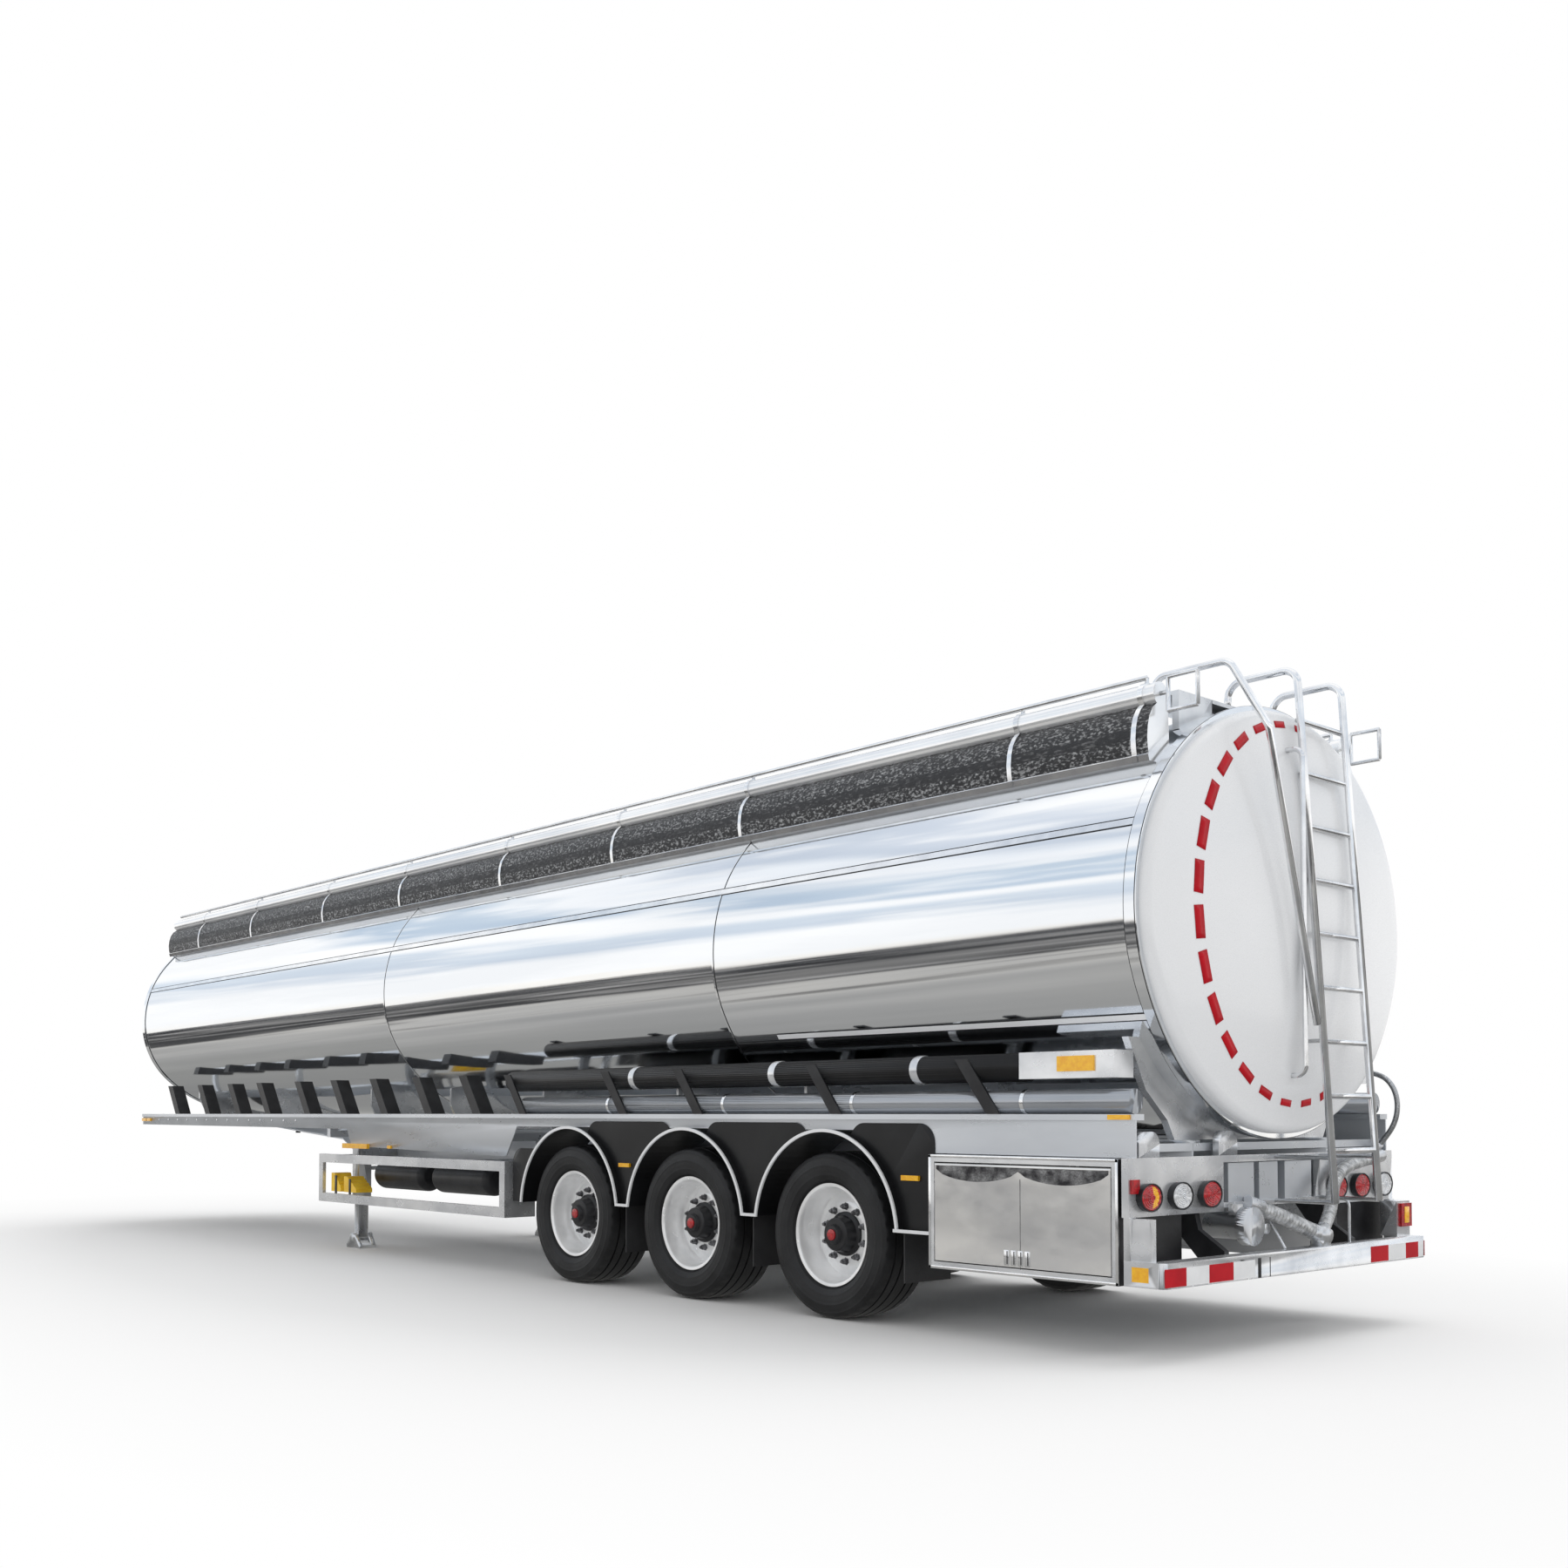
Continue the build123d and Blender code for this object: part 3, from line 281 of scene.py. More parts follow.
def ringsToMesh(name, rings, capFirst=False, capLast=False):
    bm = bmesh.new()
    made = [[bm.verts.new(point) for point in ring] for ring in rings]
    count = len(rings[0])
    for before, after in zip(made, made[1:]):
        for i in range(count):
            j = (i + 1) % count
            bm.faces.new((before[i], before[j], after[j], after[i]))
    if capFirst:
        bm.faces.new(list(reversed(made[0])))
    if capLast:
        bm.faces.new(made[-1])
    bmesh.ops.recalc_face_normals(bm, faces=bm.faces)
    return meshFrom(name, bm)


def dress(name, finishNames, nodeNames, body="trailer", split=None):
    bm = bmesh.new()
    for nodeName in nodeNames:
        bm.from_mesh(nodes[nodeName].data)
    bmesh.ops.remove_doubles(bm, verts=bm.verts, dist=0.00002)
    if split:
        for face in bm.faces:
            face.material_index = split(face)
    placePiece(name, meshFrom(name, bm), finishNames, body, nodeNames, 32)


def addBox(bm, low, high, bevel=0.0):
    made = bmesh.ops.create_cube(bm, size=1.0)["verts"]
    size = Vector(high) - Vector(low)
    middle = (Vector(high) + Vector(low)) / 2
    for vert in made:
        vert.co = vert.co * Vector([abs(width) for width in size]) + middle
    if bevel:
        edges = list({edge for vert in made for edge in vert.link_edges})
        bmesh.ops.bevel(bm, geom=edges, offset=bevel, segments=2, profile=0.5, affect="EDGES")


def addTurned(bm, centre, axis, profile, segments=32):
    axis = Vector(axis).normalized()
    across = axis.orthogonal().normalized()
    other = axis.cross(across)
    rings = []
    for along, radius in profile:
        ring = []
        if radius < 0.00001:
            ring = [bm.verts.new(centre + axis * along)]
        else:
            for i in range(segments):
                angle = math.tau * i / segments
                out = across * math.cos(angle) + other * math.sin(angle)
                ring.append(bm.verts.new(centre + axis * along + out * radius))
        rings.append(ring)
    for before, after in zip(rings, rings[1:]):
        for i in range(segments):
            j = (i + 1) % segments
            corners = [before[i % len(before)], before[j % len(before)],
                       after[j % len(after)], after[i % len(after)]]
            unique = list(dict.fromkeys(corners))
            if len(unique) > 2:
                bm.faces.new(unique)


# One node tree repeats a small mesh at marked points, each with its own turn and stretch
def buildRepeatTree():
    tree = bpy.data.node_groups.new("repeatAtPoints", "GeometryNodeTree")
    keys = {}
    for label, kind in (("Points", "NodeSocketGeometry"), ("Unit", "NodeSocketObject"),
                        ("Size", "NodeSocketFloat"), ("Finish", "NodeSocketMaterial")):
        keys[label] = tree.interface.new_socket(label, in_out="INPUT", socket_type=kind).identifier
    tree.interface.new_socket("Mesh", in_out="OUTPUT", socket_type="NodeSocketGeometry")
    entry, leave = node(tree, "NodeGroupInput"), node(tree, "NodeGroupOutput")
    points, unit = node(tree, "GeometryNodeMeshToPoints"), node(tree, "GeometryNodeObjectInfo")
    turn = node(tree, "GeometryNodeInputNamedAttribute", data_type="FLOAT_VECTOR")
    stretch = node(tree, "GeometryNodeInputNamedAttribute", data_type="FLOAT_VECTOR")
    turn.inputs["Name"].default_value, stretch.inputs["Name"].default_value = "turn", "stretch"
    rotation = node(tree, "FunctionNodeEulerToRotation")
    scaled = node(tree, "ShaderNodeVectorMath", operation="SCALE")
    place = node(tree, "GeometryNodeInstanceOnPoints")
    realize, finish = node(tree, "GeometryNodeRealizeInstances"), node(tree, "GeometryNodeSetMaterial")
    for source, target in ((entry.outputs["Points"], points.inputs["Mesh"]),
                           (entry.outputs["Unit"], unit.inputs["Object"]),
                           (turn.outputs[0], rotation.inputs[0]), (stretch.outputs[0], scaled.inputs[0]),
                           (entry.outputs["Size"], scaled.inputs["Scale"]),
                           (points.outputs[0], place.inputs["Points"]),
                           (unit.outputs["Geometry"], place.inputs["Instance"]),
                           (rotation.outputs[0], place.inputs["Rotation"]),
                           (scaled.outputs[0], place.inputs["Scale"]), (place.outputs[0], realize.inputs[0]),
                           (realize.outputs[0], finish.inputs["Geometry"]),
                           (entry.outputs["Finish"], finish.inputs["Material"]),
                           (finish.outputs[0], leave.inputs["Mesh"])):
        tree.links.new(source, target)
    return tree, keys


repeatTree, repeatKeys = buildRepeatTree()


def repeatPiece(name, unitBm, spots, finishName, body="trailer", sharpAngle=30, size=1.0):
    bmesh.ops.recalc_face_normals(unitBm, faces=unitBm.faces)
    unit = bpy.data.objects.new(name + "Unit", meshFrom(name + "Unit", unitBm))
    pointMesh = bpy.data.meshes.new(name + "Spots")
    pointMesh.from_pydata([tuple(spot[0]) for spot in spots], [], [])
    for key, index, usual in (("turn", 1, (0, 0, 0)), ("stretch", 2, (1, 1, 1))):
        values = [number for spot in spots for number in (spot[index] if len(spot) > index else usual)]
        pointMesh.attributes.new(key, "FLOAT_VECTOR", "POINT").data.foreach_set("vector", values)
    holder = bpy.data.objects.new(name + "Spots", pointMesh)
    scene.collection.objects.link(holder)
    scene.collection.objects.link(unit)
    modifier = holder.modifiers.new("repeat", "NODES")
    modifier.node_group = repeatTree
    modifier[repeatKeys["Unit"]] = unit
    modifier[repeatKeys["Size"]] = size
    modifier[repeatKeys["Finish"]] = materials[finishName]
    shown = holder.evaluated_get(bpy.context.evaluated_depsgraph_get())
    mesh = bpy.data.meshes.new_from_object(shown)
    holder.modifiers.remove(modifier)
    bpy.data.objects.remove(holder)
    bpy.data.objects.remove(unit)
    for key in ("turn", "stretch"):
        if key in mesh.attributes:
            mesh.attributes.remove(mesh.attributes[key])
    return placePiece(name, mesh, finishName, body, (), sharpAngle)


def addExtruded(bm, outline, axis, start, end):
    ends = []
    for along in (start, end):
        ring = []
        for a, b in outline:
            point = [a, b]
            point.insert(axis, along)
            ring.append(bm.verts.new(point))
        ends.append(ring)
    for i in range(len(outline)):
        j = (i + 1) % len(outline)
        bm.faces.new((ends[0][i], ends[0][j], ends[1][j], ends[1][i]))
    bm.faces.new(ends[0])
    bm.faces.new(ends[1])


halfTurn = math.pi


# Stage: pale floor, plain world, and cards that only polished metal sees
stageLook = {"floorReach": 90.0, "floor": (0.93, 0.93, 0.93), "fade": (3.4, 6.4), "fadeStretch": (0.5, 1, 1),
             "cardReach": 55.0, "groundLift": 0.004, "lamp": 1.0, "lampAngle": 50, "lampTurn": (-28, 14, 0),
             "roomLight": 0.74}


def emptyMaterial(name):
    material = bpy.data.materials.new(name)
    material.use_nodes = True
    material.node_tree.nodes.clear()
    return material, material.node_tree


def disc(name, reach, height):
    bm = bmesh.new()
    bmesh.ops.create_circle(bm, cap_ends=True, segments=96, radius=reach)
    mesh = meshFrom(name, bm)
    for vert in mesh.vertices:
        vert.co.z = height
    piece = bpy.data.objects.new(name, mesh)
    scene.collection.objects.link(piece)
    return piece


floor = disc("floor", stageLook["floorReach"], 0.0)
floorMaterial, tree = emptyMaterial("floorPaper")
diffuse = node(tree, "ShaderNodeBsdfDiffuse")
diffuse.inputs["Color"].default_value = (*stageLook["floor"], 1)
white = node(tree, "ShaderNodeEmission")
mix = node(tree, "ShaderNodeMixShader")
output = node(tree, "ShaderNodeOutputMaterial")
length = node(tree, "ShaderNodeVectorMath", operation="LENGTH")
tree.links.new(stretched(tree, stageLook["fadeStretch"]), length.inputs[0])
tree.links.new(spreadOf(tree, length.outputs["Value"], *stageLook["fade"], 0.0, 1.0), mix.inputs[0])
tree.links.new(diffuse.outputs[0], mix.inputs[1])
tree.links.new(white.outputs[0], mix.inputs[2])
tree.links.new(mix.outputs[0], output.inputs["Surface"])
floor.data.materials.append(floorMaterial)


def onlyInReflections(piece):
    piece.visible_camera = False
    piece.visible_diffuse = False
    piece.visible_shadow = False
    piece.visible_transmission = False


def mathNode(tree, operation, first, second=0.0):
    made = node(tree, "ShaderNodeMath", operation=operation)
    tree.links.new(first, made.inputs[0])
    if isinstance(second, float):
        made.inputs[1].default_value = second
    else:
        tree.links.new(second, made.inputs[1])
    return made.outputs[0]


def mixOf(tree, share, first, colour):
    mixed = node(tree, "ShaderNodeMix", data_type="RGBA")
    tree.links.new(share, mixed.inputs["Factor"])
    tree.links.new(first, mixed.inputs[6])
    mixed.inputs[7].default_value = (*colour, 1)
    return mixed.outputs[2]


def objectAxes(tree):
    place, split = node(tree, "ShaderNodeTexCoord"), node(tree, "ShaderNodeSeparateXYZ")
    tree.links.new(place.outputs["Object"], split.inputs[0])
    return split.outputs


def glowCard(piece, material, colour, strength):
    tree = material.node_tree
    glow = node(tree, "ShaderNodeEmission")
    glow.inputs["Strength"].default_value = strength
    tree.links.new(colour, glow.inputs["Color"])
    output = node(tree, "ShaderNodeOutputMaterial")
    tree.links.new(glow.outputs[0], output.inputs["Surface"])
    piece.data.materials.append(material)
    onlyInReflections(piece)


# Yard seen in the polish: grey beside the trailer, darkest nearest it as painted shadow of the trailer, a
# dark streaky edge, bright far off
yard = {"logReach": 4.2, "nearest": 0.5, "streakLength": 0.045, "streakWidth": 12.8, "wander": 0.075,
        "streaks": (0.52, 0.64), "share": 0.75, "edge": (0.40, 0.47), "pale": (0.52, 0.51, 0.50),
        "bands": [(0.0, (0.27, 0.27, 0.265)), (0.165, (0.31, 0.31, 0.30)), (0.298, (0.40, 0.395, 0.385)),
                  (0.370, (0.50, 0.49, 0.475)), (0.392, (0.58, 0.565, 0.54)), (0.418, (0.07, 0.07, 0.072)),
                  (0.49, (0.05, 0.05, 0.052)), (0.545, (0.24, 0.235, 0.23)), (0.61, (0.030, 0.031, 0.034)),
                  (0.70, (0.10, 0.10, 0.105)), (0.80, (0.035, 0.036, 0.04)), (0.845, (0.94, 0.90, 0.84)),
                  (1.0, (1.0, 0.97, 0.93))]}
groundCard = disc("groundCard", stageLook["cardReach"], stageLook["groundLift"])
groundGlow, tree = emptyMaterial("groundCardGlow")
axes = objectAxes(tree)
reach = mathNode(tree, "ADD", mathNode(tree, "ABSOLUTE", axes["Y"]), yard["nearest"])
logReach = mathNode(tree, "DIVIDE", mathNode(tree, "LOGARITHM", reach, math.e), yard["logReach"])
flow = node(tree, "ShaderNodeCombineXYZ")
tree.links.new(mathNode(tree, "MULTIPLY", axes["X"], yard["streakLength"]), flow.inputs["X"])
tree.links.new(mathNode(tree, "MULTIPLY", logReach, yard["streakWidth"]), flow.inputs["Y"])
wander = spreadOf(tree, noiseOf(tree, flow.outputs[0], 1.0, 3.0), 0.3, 0.7, -yard["wander"], yard["wander"])
# the greys that rise outward from the trailer are painted shadow of the trailer on the yard
bands = rampOf(tree, mathNode(tree, "ADD", logReach, wander), yard["bands"])
streaks = spreadOf(tree, noiseOf(tree, flow.outputs[0], 2.6, 5.0), *yard["streaks"], 0.0, yard["share"])
onEdge = spreadOf(tree, logReach, *yard["edge"], 0.0, 1.0)
streakShare = mathNode(tree, "MULTIPLY", streaks, onEdge)
glowCard(groundCard, groundGlow, mixOf(tree, streakShare, bands, yard["pale"]), 1.0)

# Sky seen in the polish: pale and bluish bands from the horizon up, broken by wisps
sky = {"glow": 1.15, "streaks": (0.018, 0.07, 0.16), "wander": 0.060, "wispScale": 2.3,
       "wisps": (0.50, 0.64), "share": 0.7, "floorCut": -0.5,
       "bands": [(0.0, (1.0, 0.97, 0.92)), (0.04, (1.0, 1.0, 1.0)), (0.20, (1.0, 1.0, 1.0)),
                 (0.27, (0.62, 0.69, 0.78)), (0.33, (0.70, 0.77, 0.85)), (0.38, (1.0, 1.0, 1.0)),
                 (0.44, (1.0, 1.0, 1.0)), (0.49, (0.50, 0.60, 0.72)), (0.55, (0.58, 0.67, 0.77)),
                 (0.60, (0.95, 0.96, 0.98)), (0.68, (0.88, 0.91, 0.95)), (0.74, (0.60, 0.66, 0.75)),
                 (0.81, (0.68, 0.73, 0.81)), (0.90, (1.0, 1.0, 1.0)), (1.0, (1.0, 1.0, 1.0))]}
skyBm = bmesh.new()
bmesh.ops.create_uvsphere(skyBm, u_segments=64, v_segments=48, radius=stageLook["cardReach"])
bmesh.ops.delete(skyBm, geom=[v for v in skyBm.verts if v.co.z < sky["floorCut"]], context="VERTS")
skyCard = bpy.data.objects.new("skyCard", meshFrom("skyCard", skyBm))
scene.collection.objects.link(skyCard)
skyGlow, tree = emptyMaterial("skyCardGlow")
height = mathNode(tree, "DIVIDE", objectAxes(tree)["Z"], stageLook["cardReach"])
clouds = noiseOf(tree, stretched(tree, sky["streaks"]), 1.0, 5.0, 0.5)
wander = spreadOf(tree, clouds, 0.3, 0.7, -sky["wander"], sky["wander"])
bands = rampOf(tree, mathNode(tree, "ADD", height, wander), sky["bands"])
wisps = noiseOf(tree, stretched(tree, [s * sky["wispScale"] for s in sky["streaks"]]), 1.0, 6.0, 0.6)
wispShare = spreadOf(tree, wisps, *sky["wisps"], 0.0, sky["share"])
glowCard(skyCard, skyGlow, mixOf(tree, wispShare, bands, (1.0, 1.0, 1.0)), sky["glow"])

world = bpy.data.worlds.new("paleRoom")
scene.world = world
world.use_nodes = True
tree = world.node_tree
background = tree.nodes["Background"]
background.inputs["Color"].default_value = (1, 1, 1, 1)
rays = node(tree, "ShaderNodeLightPath").outputs
seen = mathNode(tree, "ADD", rays["Is Camera Ray"], rays["Is Glossy Ray"])
seen = mathNode(tree, "ADD", seen, rays["Is Transmission Ray"])
tree.links.new(spreadOf(tree, seen, 0.0, 1.0, stageLook["roomLight"], 1.0), background.inputs["Strength"])

lampData = bpy.data.lights.new("softLamp", "SUN")
lampData.energy = stageLook["lamp"]
lampData.angle = math.radians(stageLook["lampAngle"])
softLamp = bpy.data.objects.new("softLamp", lampData)
softLamp.rotation_euler = [math.radians(turn) for turn in stageLook["lampTurn"]]
scene.collection.objects.link(softLamp)
print("stage set")


# Tank: the same four-centre oval as the model's, about its widest line
tank = {"front": -9.680, "rear": 3.480, "halfWide": 1.250, "widest": 2.190, "top": 1.130,
        "lowFront": 1.000, "lowRear": 1.130, "topSide": 1.000, "lowSide": 0.850, "ringWidth": 0.070,
        "ringRise": 0.010, "seams": [-4.085, 0.276], "seamWidth": 0.016, "seamRise": 0.0025,
        "closedBy": 0.030, "endInset": 0.018, "endDepth": 0.170, "endStraight": 0.045, "knuckle": 0.040,
        "insets": [0.0, 0.0, 0.002, 0.006, 0.012, 0.020, 0.030, 0.040, 0.08, 0.16, 0.28, 0.42, 0.58, 0.74,
                   0.90, 1.02, 1.10], "steps": 26}


def lowHeight(station):
    share = (station - tank["front"]) / (tank["rear"] - tank["front"])
    return tank["lowFront"] + share * (tank["lowRear"] - tank["lowFront"])


def quarterOval(halfWide, height, side, steps):
    crown = ((halfWide - side) ** 2 + height ** 2 - side ** 2) / (2 * (height - side))
    turn = math.atan2(crown - height, halfWide - side)
    points = []
    for i in range(steps):
        angle = turn * i / steps
        points.append((halfWide - side + side * math.cos(angle), side * math.sin(angle)))
    for i in range(steps + 1):
        angle = turn + (math.pi / 2 - turn) * i / steps
        points.append((crown * math.cos(angle), height - crown + crown * math.sin(angle)))
    return points


def ovalRing(station, grow=0.0):
    steps = tank["steps"]
    upper = quarterOval(tank["halfWide"] + grow, tank["top"] + grow, tank["topSide"] + grow, steps)
    lower = quarterOval(tank["halfWide"] + grow, lowHeight(station) + grow, tank["lowSide"] + grow, steps)
    left = [(-y, z) for y, z in reversed(upper[:-1])]
    leftLow = [(-y, -z) for y, z in lower[1:]]
    rightLow = [(y, -z) for y, z in reversed(lower[1:-1])]
    return [(y, tank["widest"] + z) for y, z in upper + left + leftLow + rightLow]


def ringAt(station, grow=0.0):
    return [at(station, y, z) for y, z in ovalRing(station, grow)]


def band(start, end, rise):
    soft = min(0.003, rise * 0.6)
    return [ringAt(station, grow) for station, grow in
            ((start, 0.0), (start, rise - soft), (start + soft, rise), (end - soft, rise),
             (end, rise - soft), (end, 0.0))]


front, rear = tank["front"], tank["rear"]
halfSeam = tank["seamWidth"] / 2
barrelRings = [ringAt(front, -tank["closedBy"])]
barrelRings += band(front, front + tank["ringWidth"], tank["ringRise"])
for seam in tank["seams"]:
    barrelRings += band(seam - halfSeam, seam + halfSeam, tank["seamRise"])
barrelRings += band(rear - tank["ringWidth"], rear, tank["ringRise"])
barrelRings.append(ringAt(rear, -tank["closedBy"]))
placePiece("tankShell", ringsToMesh("tankShell", barrelRings, True, True), "polishedTank",
           stands=["tank_barrel"], sharpAngle=25)


def endSwell(y, z):
    edge = tank["halfWide"] - tank["endInset"]
    drop = tank["endDepth"] - tank["endStraight"]
    sphere = (edge ** 2 + drop ** 2) / (2 * drop)
    return tank["endDepth"] - sphere + math.sqrt(sphere ** 2 - y ** 2 - (z - tank["widest"]) ** 2)


def domeMesh(name, station, toward):
    outline = ovalRing(station, -tank["endInset"])
    widest, knuckle = tank["widest"], tank["knuckle"]
    rings = []
    for inset in tank["insets"]:
        ring = []
        for y, z in outline:
            reach = math.hypot(y, z - widest)
            share = max(0.0, 1 - inset / reach)
            inY, inZ = y * share, widest + (z - widest) * share
            depth = endSwell(inY, inZ)
            if inset < knuckle:
                depth = depth - knuckle + math.sqrt(knuckle ** 2 - (knuckle - inset) ** 2)
            if not rings:
                depth = 0.0
            ring.append(at(station + toward * depth, inY, inZ))
        rings.append(ring)
    return ringsToMesh(name, rings, False, True)


placePiece("rearDome", domeMesh("rearDome", rear, 1), "whitePaint", stands=["rear_end"],
           sharpAngle=40)
placePiece("frontDome", domeMesh("frontDome", front, -1), "polishedTank", stands=["front_end"],
           sharpAngle=40)
print("tank made")


# Thin lines on the barrel: the long seam, the trim strip and the edges of the rings; the dark lines along
# the edges are painted shade
tankLines = {"seamFront": (-9.610, 2.535), "seamRear": (3.410, 2.600), "seamWidth": 0.034,
             "seamRise": 0.0025, "edgeWidth": 0.005, "edgeRise": 0.003, "trimFront": (0.700, 1.652),
             "trimRear": (3.410, 1.652), "trimWidth": 0.027, "trimRise": 0.004, "buried": 0.002,
             "step": 0.30, "ringLineWidth": 0.005, "ringLineDepth": 0.004}


def barrelSide(station, height, grow):
    upper = height > tank["widest"]
    radius, reach = (tank["topSide"], tank["top"]) if upper else (tank["lowSide"], lowHeight(station))
    flat = tank["halfWide"] - radius
    crown = (flat ** 2 + reach ** 2 - radius ** 2) / (2 * (reach - radius))
    drop = abs(height - tank["widest"])
    if drop < radius * math.sin(math.atan2(crown - reach, flat)):
        return flat + math.sqrt((radius + grow) ** 2 - drop ** 2)
    return math.sqrt((crown + grow) ** 2 - (drop + crown - reach) ** 2)


def lineStrip(bm, first, last, width, rise, lift=0.0):
    count = max(2, round((last[0] - first[0]) / tankLines["step"]))
    for side in (-1, 1):
        rings = []
        for i in range(count + 1):
            share = i / count
            station = first[0] + (last[0] - first[0]) * share
            middle = first[1] + (last[1] - first[1]) * share + lift
            low, high = middle - width / 2, middle + width / 2
            ring = [(barrelSide(station, height, grow), height) for height, grow in
                    ((low, -tankLines["buried"]), (low, rise), (high, rise), (high, -tankLines["buried"]))]
            rings.append([bm.verts.new(at(station, side * y, z)) for y, z in ring])
        for before, after in zip(rings, rings[1:]):
            for i in range(4):
                j = (i + 1) % 4
                bm.faces.new((before[i], before[j], after[j], after[i]))
        bm.faces.new(rings[0])
        bm.faces.new(rings[-1])


seam = tankLines["seamFront"], tankLines["seamRear"]
trim = tankLines["trimFront"], tankLines["trimRear"]
for name, line, width, rise, finishName in (
        ("tankStrips", seam, tankLines["seamWidth"], tankLines["seamRise"], "ringPolish"),
        ("tankTrim", trim, tankLines["trimWidth"], tankLines["trimRise"], "whitePaint")):
    bm = bmesh.new()
    lineStrip(bm, *line, width, rise)
    placeBm(name, bm, finishName)
# dark lines along both edges of the seam and trim strips: painted shade
bm = bmesh.new()
for shift in (-0.5, 0.5):
    for line, width in ((seam, tankLines["seamWidth"]), (trim, tankLines["trimWidth"])):
        lineStrip(bm, *line, tankLines["edgeWidth"], tankLines["edgeRise"],
                  shift * (width + tankLines["edgeWidth"]))
placeBm("tankStripEdges", bm, "darkSteel")


# dark lines at the ring edges and the welds: painted shade
for name, station, rise in (("rearRingLine", rear - tank["ringWidth"] - 0.006, 0.003),
                            ("rearRimLine", rear - 0.008, tank["ringRise"] + 0.001),
                            ("frontRingLine", front + tank["ringWidth"] + 0.001, 0.003),
                            ("midSeamLine", tank["seams"][1] + 0.010, 0.0015),
                            ("foreSeamLine", tank["seams"][0] + 0.010, 0.0015)):
    end, foot = station + tankLines["ringLineWidth"], rise - tankLines["ringLineDepth"]
    rings = [ringAt(station, foot), ringAt(station, rise), ringAt(end, rise), ringAt(end, foot)]
    placePiece(name, ringsToMesh(name, rings + [rings[0]]), "darkSteel")
print("tank lines made")


# Red dashes painted round the white end
dashes = {"count": 28, "long": 0.165, "short": 0.090, "wide": 0.066, "narrow": 0.032, "reachSide": 0.888,
          "reachUp": 0.995, "centreHeight": 2.228, "lift": 0.0015, "thick": 0.001,
          "lastHigh": 0.120, "lastLow": 0.330}


def dashCentre(turn):
    return dashes["reachSide"] * math.cos(turn), dashes["centreHeight"] + dashes["reachUp"] * math.sin(turn)


dashBm = bmesh.new()
for i in range(dashes["count"]):
    turn = math.tau * (i + 0.5) / dashes["count"]
    y, z = dashCentre(turn)
    if y > (dashes["lastHigh"] if z > tank["widest"] else dashes["lastLow"]):
        continue
    y2, z2 = dashCentre(turn + 0.01)
    along = Vector((0, y2 - y, z2 - z)).normalized()
    across = Vector((0, -along.z, along.y))
    upright = abs(math.cos(turn))
    half = (dashes["short"] + (dashes["long"] - dashes["short"]) * upright) / 2
    width = dashes["narrow"] + (dashes["wide"] - dashes["narrow"]) * upright
    grid = []
    for a in range(7):
        row = []
        for b in (-0.5, 0.5):
            offset = along * half * (a / 3 - 1) + across * width * b
            dashY, dashZ = y + offset.y, z + offset.z
            lifted = rear + endSwell(dashY, dashZ) + dashes["lift"]
            row.append(dashBm.verts.new(at(lifted, dashY, dashZ)))
        grid.append(row)
    for before, after in zip(grid, grid[1:]):
        dashBm.faces.new((before[0], before[1], after[1], after[0]))
dashPiece = placeBm("redDashes", dashBm, "redTape")
thick = dashPiece.modifiers.new("thick", "SOLIDIFY")
thick.thickness = dashes["thick"]
thick.offset = 0
print("dashes made")


# CAD pieces that keep their shape, shaded smoothly
for nodeName, finishName in {
    "walkway": "satinAluminium", "manhole_necks": "satinAluminium", "top_rails": "brightTube",
    "ladder": "brightTube", "rear_handrail": "brightTube", "stand_pipe": "brightTube",
    "side_rails": "frameAluminium", "main_beams": "frameAluminium", "cross_members": "frameAluminium",
    "saddles": "panelBright", "bearers": "darkSteel", "coupling_plate": "darkSteel",
    "landing_legs": "satinAluminium", "side_guards": "panelBright", "axles": "darkSteel",
    "suspension": "darkSteel", "air_springs": "springRubber", "fenders": "blackPlastic",
    "fender_beads": "whitePaint", "fender_webs": "blackPlastic", "mudflaps": "springRubber",
    "hose_tubes": "blackPlastic", "lower_pipes": "greyPipe", "lamp_boxes": "panelBright",
    "tube_straps": "darkSteel",
    "rear_frame": "panelBright", "bumper_arms": "darkSteel", "bumper": "panelBright",
    "valve_boxes": "frameAluminium", "tail_lamps": "redLens", "air_tanks": "darkSteel",
    "outlet_valves": "satinAluminium", "marker_lamps": "amberLens",
}.items():
    words = nodeName.split("_")
    dress(words[0] + "".join(w.capitalize() for w in words[1:]) + "Shown", finishName, [nodeName])
boxBack = max(v.co.x for v in nodes["toolbox_left"].data.vertices) - 0.003


def isBoxBack(face):
    return 1 if face.normal.x > 0.5 and face.calc_center_median().x > boxBack else 0


for side in ("left", "right"):
    dress(f"{side}BoxShell", ["panelBright", "darkSteel"], [f"toolbox_{side}"], split=isBoxBack)
    dress(f"{side}BoxDoor", "boxPolish", [f"toolbox_{side}_door"], f"toolbox_{side}_flap")
for number in (1, 2, 3, 4):
    dress(f"manholeLid{number}", "satinAluminium", [f"manhole_lid_{number}"], f"lid_{number}")
print("frame pieces dressed")


# Coamings beside the walkway: a bright rolled edge over a dark band of painted shade with a darker
# painted-shade stripe, a bright foot and thin straps
coaming = {"front": -9.600, "rear": 3.380, "beadSide": 0.895, "beadHeight": 3.275, "beadRadius": 0.060,
           "inner": 0.820, "footHeight": 2.925, "foot": [(1.004, 2.956), (0.994, 2.925)],
           "band": [(0.962, 3.196), (0.990, 3.150), (1.004, 3.098), (1.010, 3.040), (1.006, 2.996),
                    (1.000, 2.962)],
           "stripeLow": 3.020, "stripeHigh": 3.090, "strapWidth": 0.030, "strapRise": 0.007,
           "strapDepth": 0.004, "straps": [-8.74, -7.38, -5.76, -4.28, -2.65, -1.15, 0.26, 2.50, 3.30]}


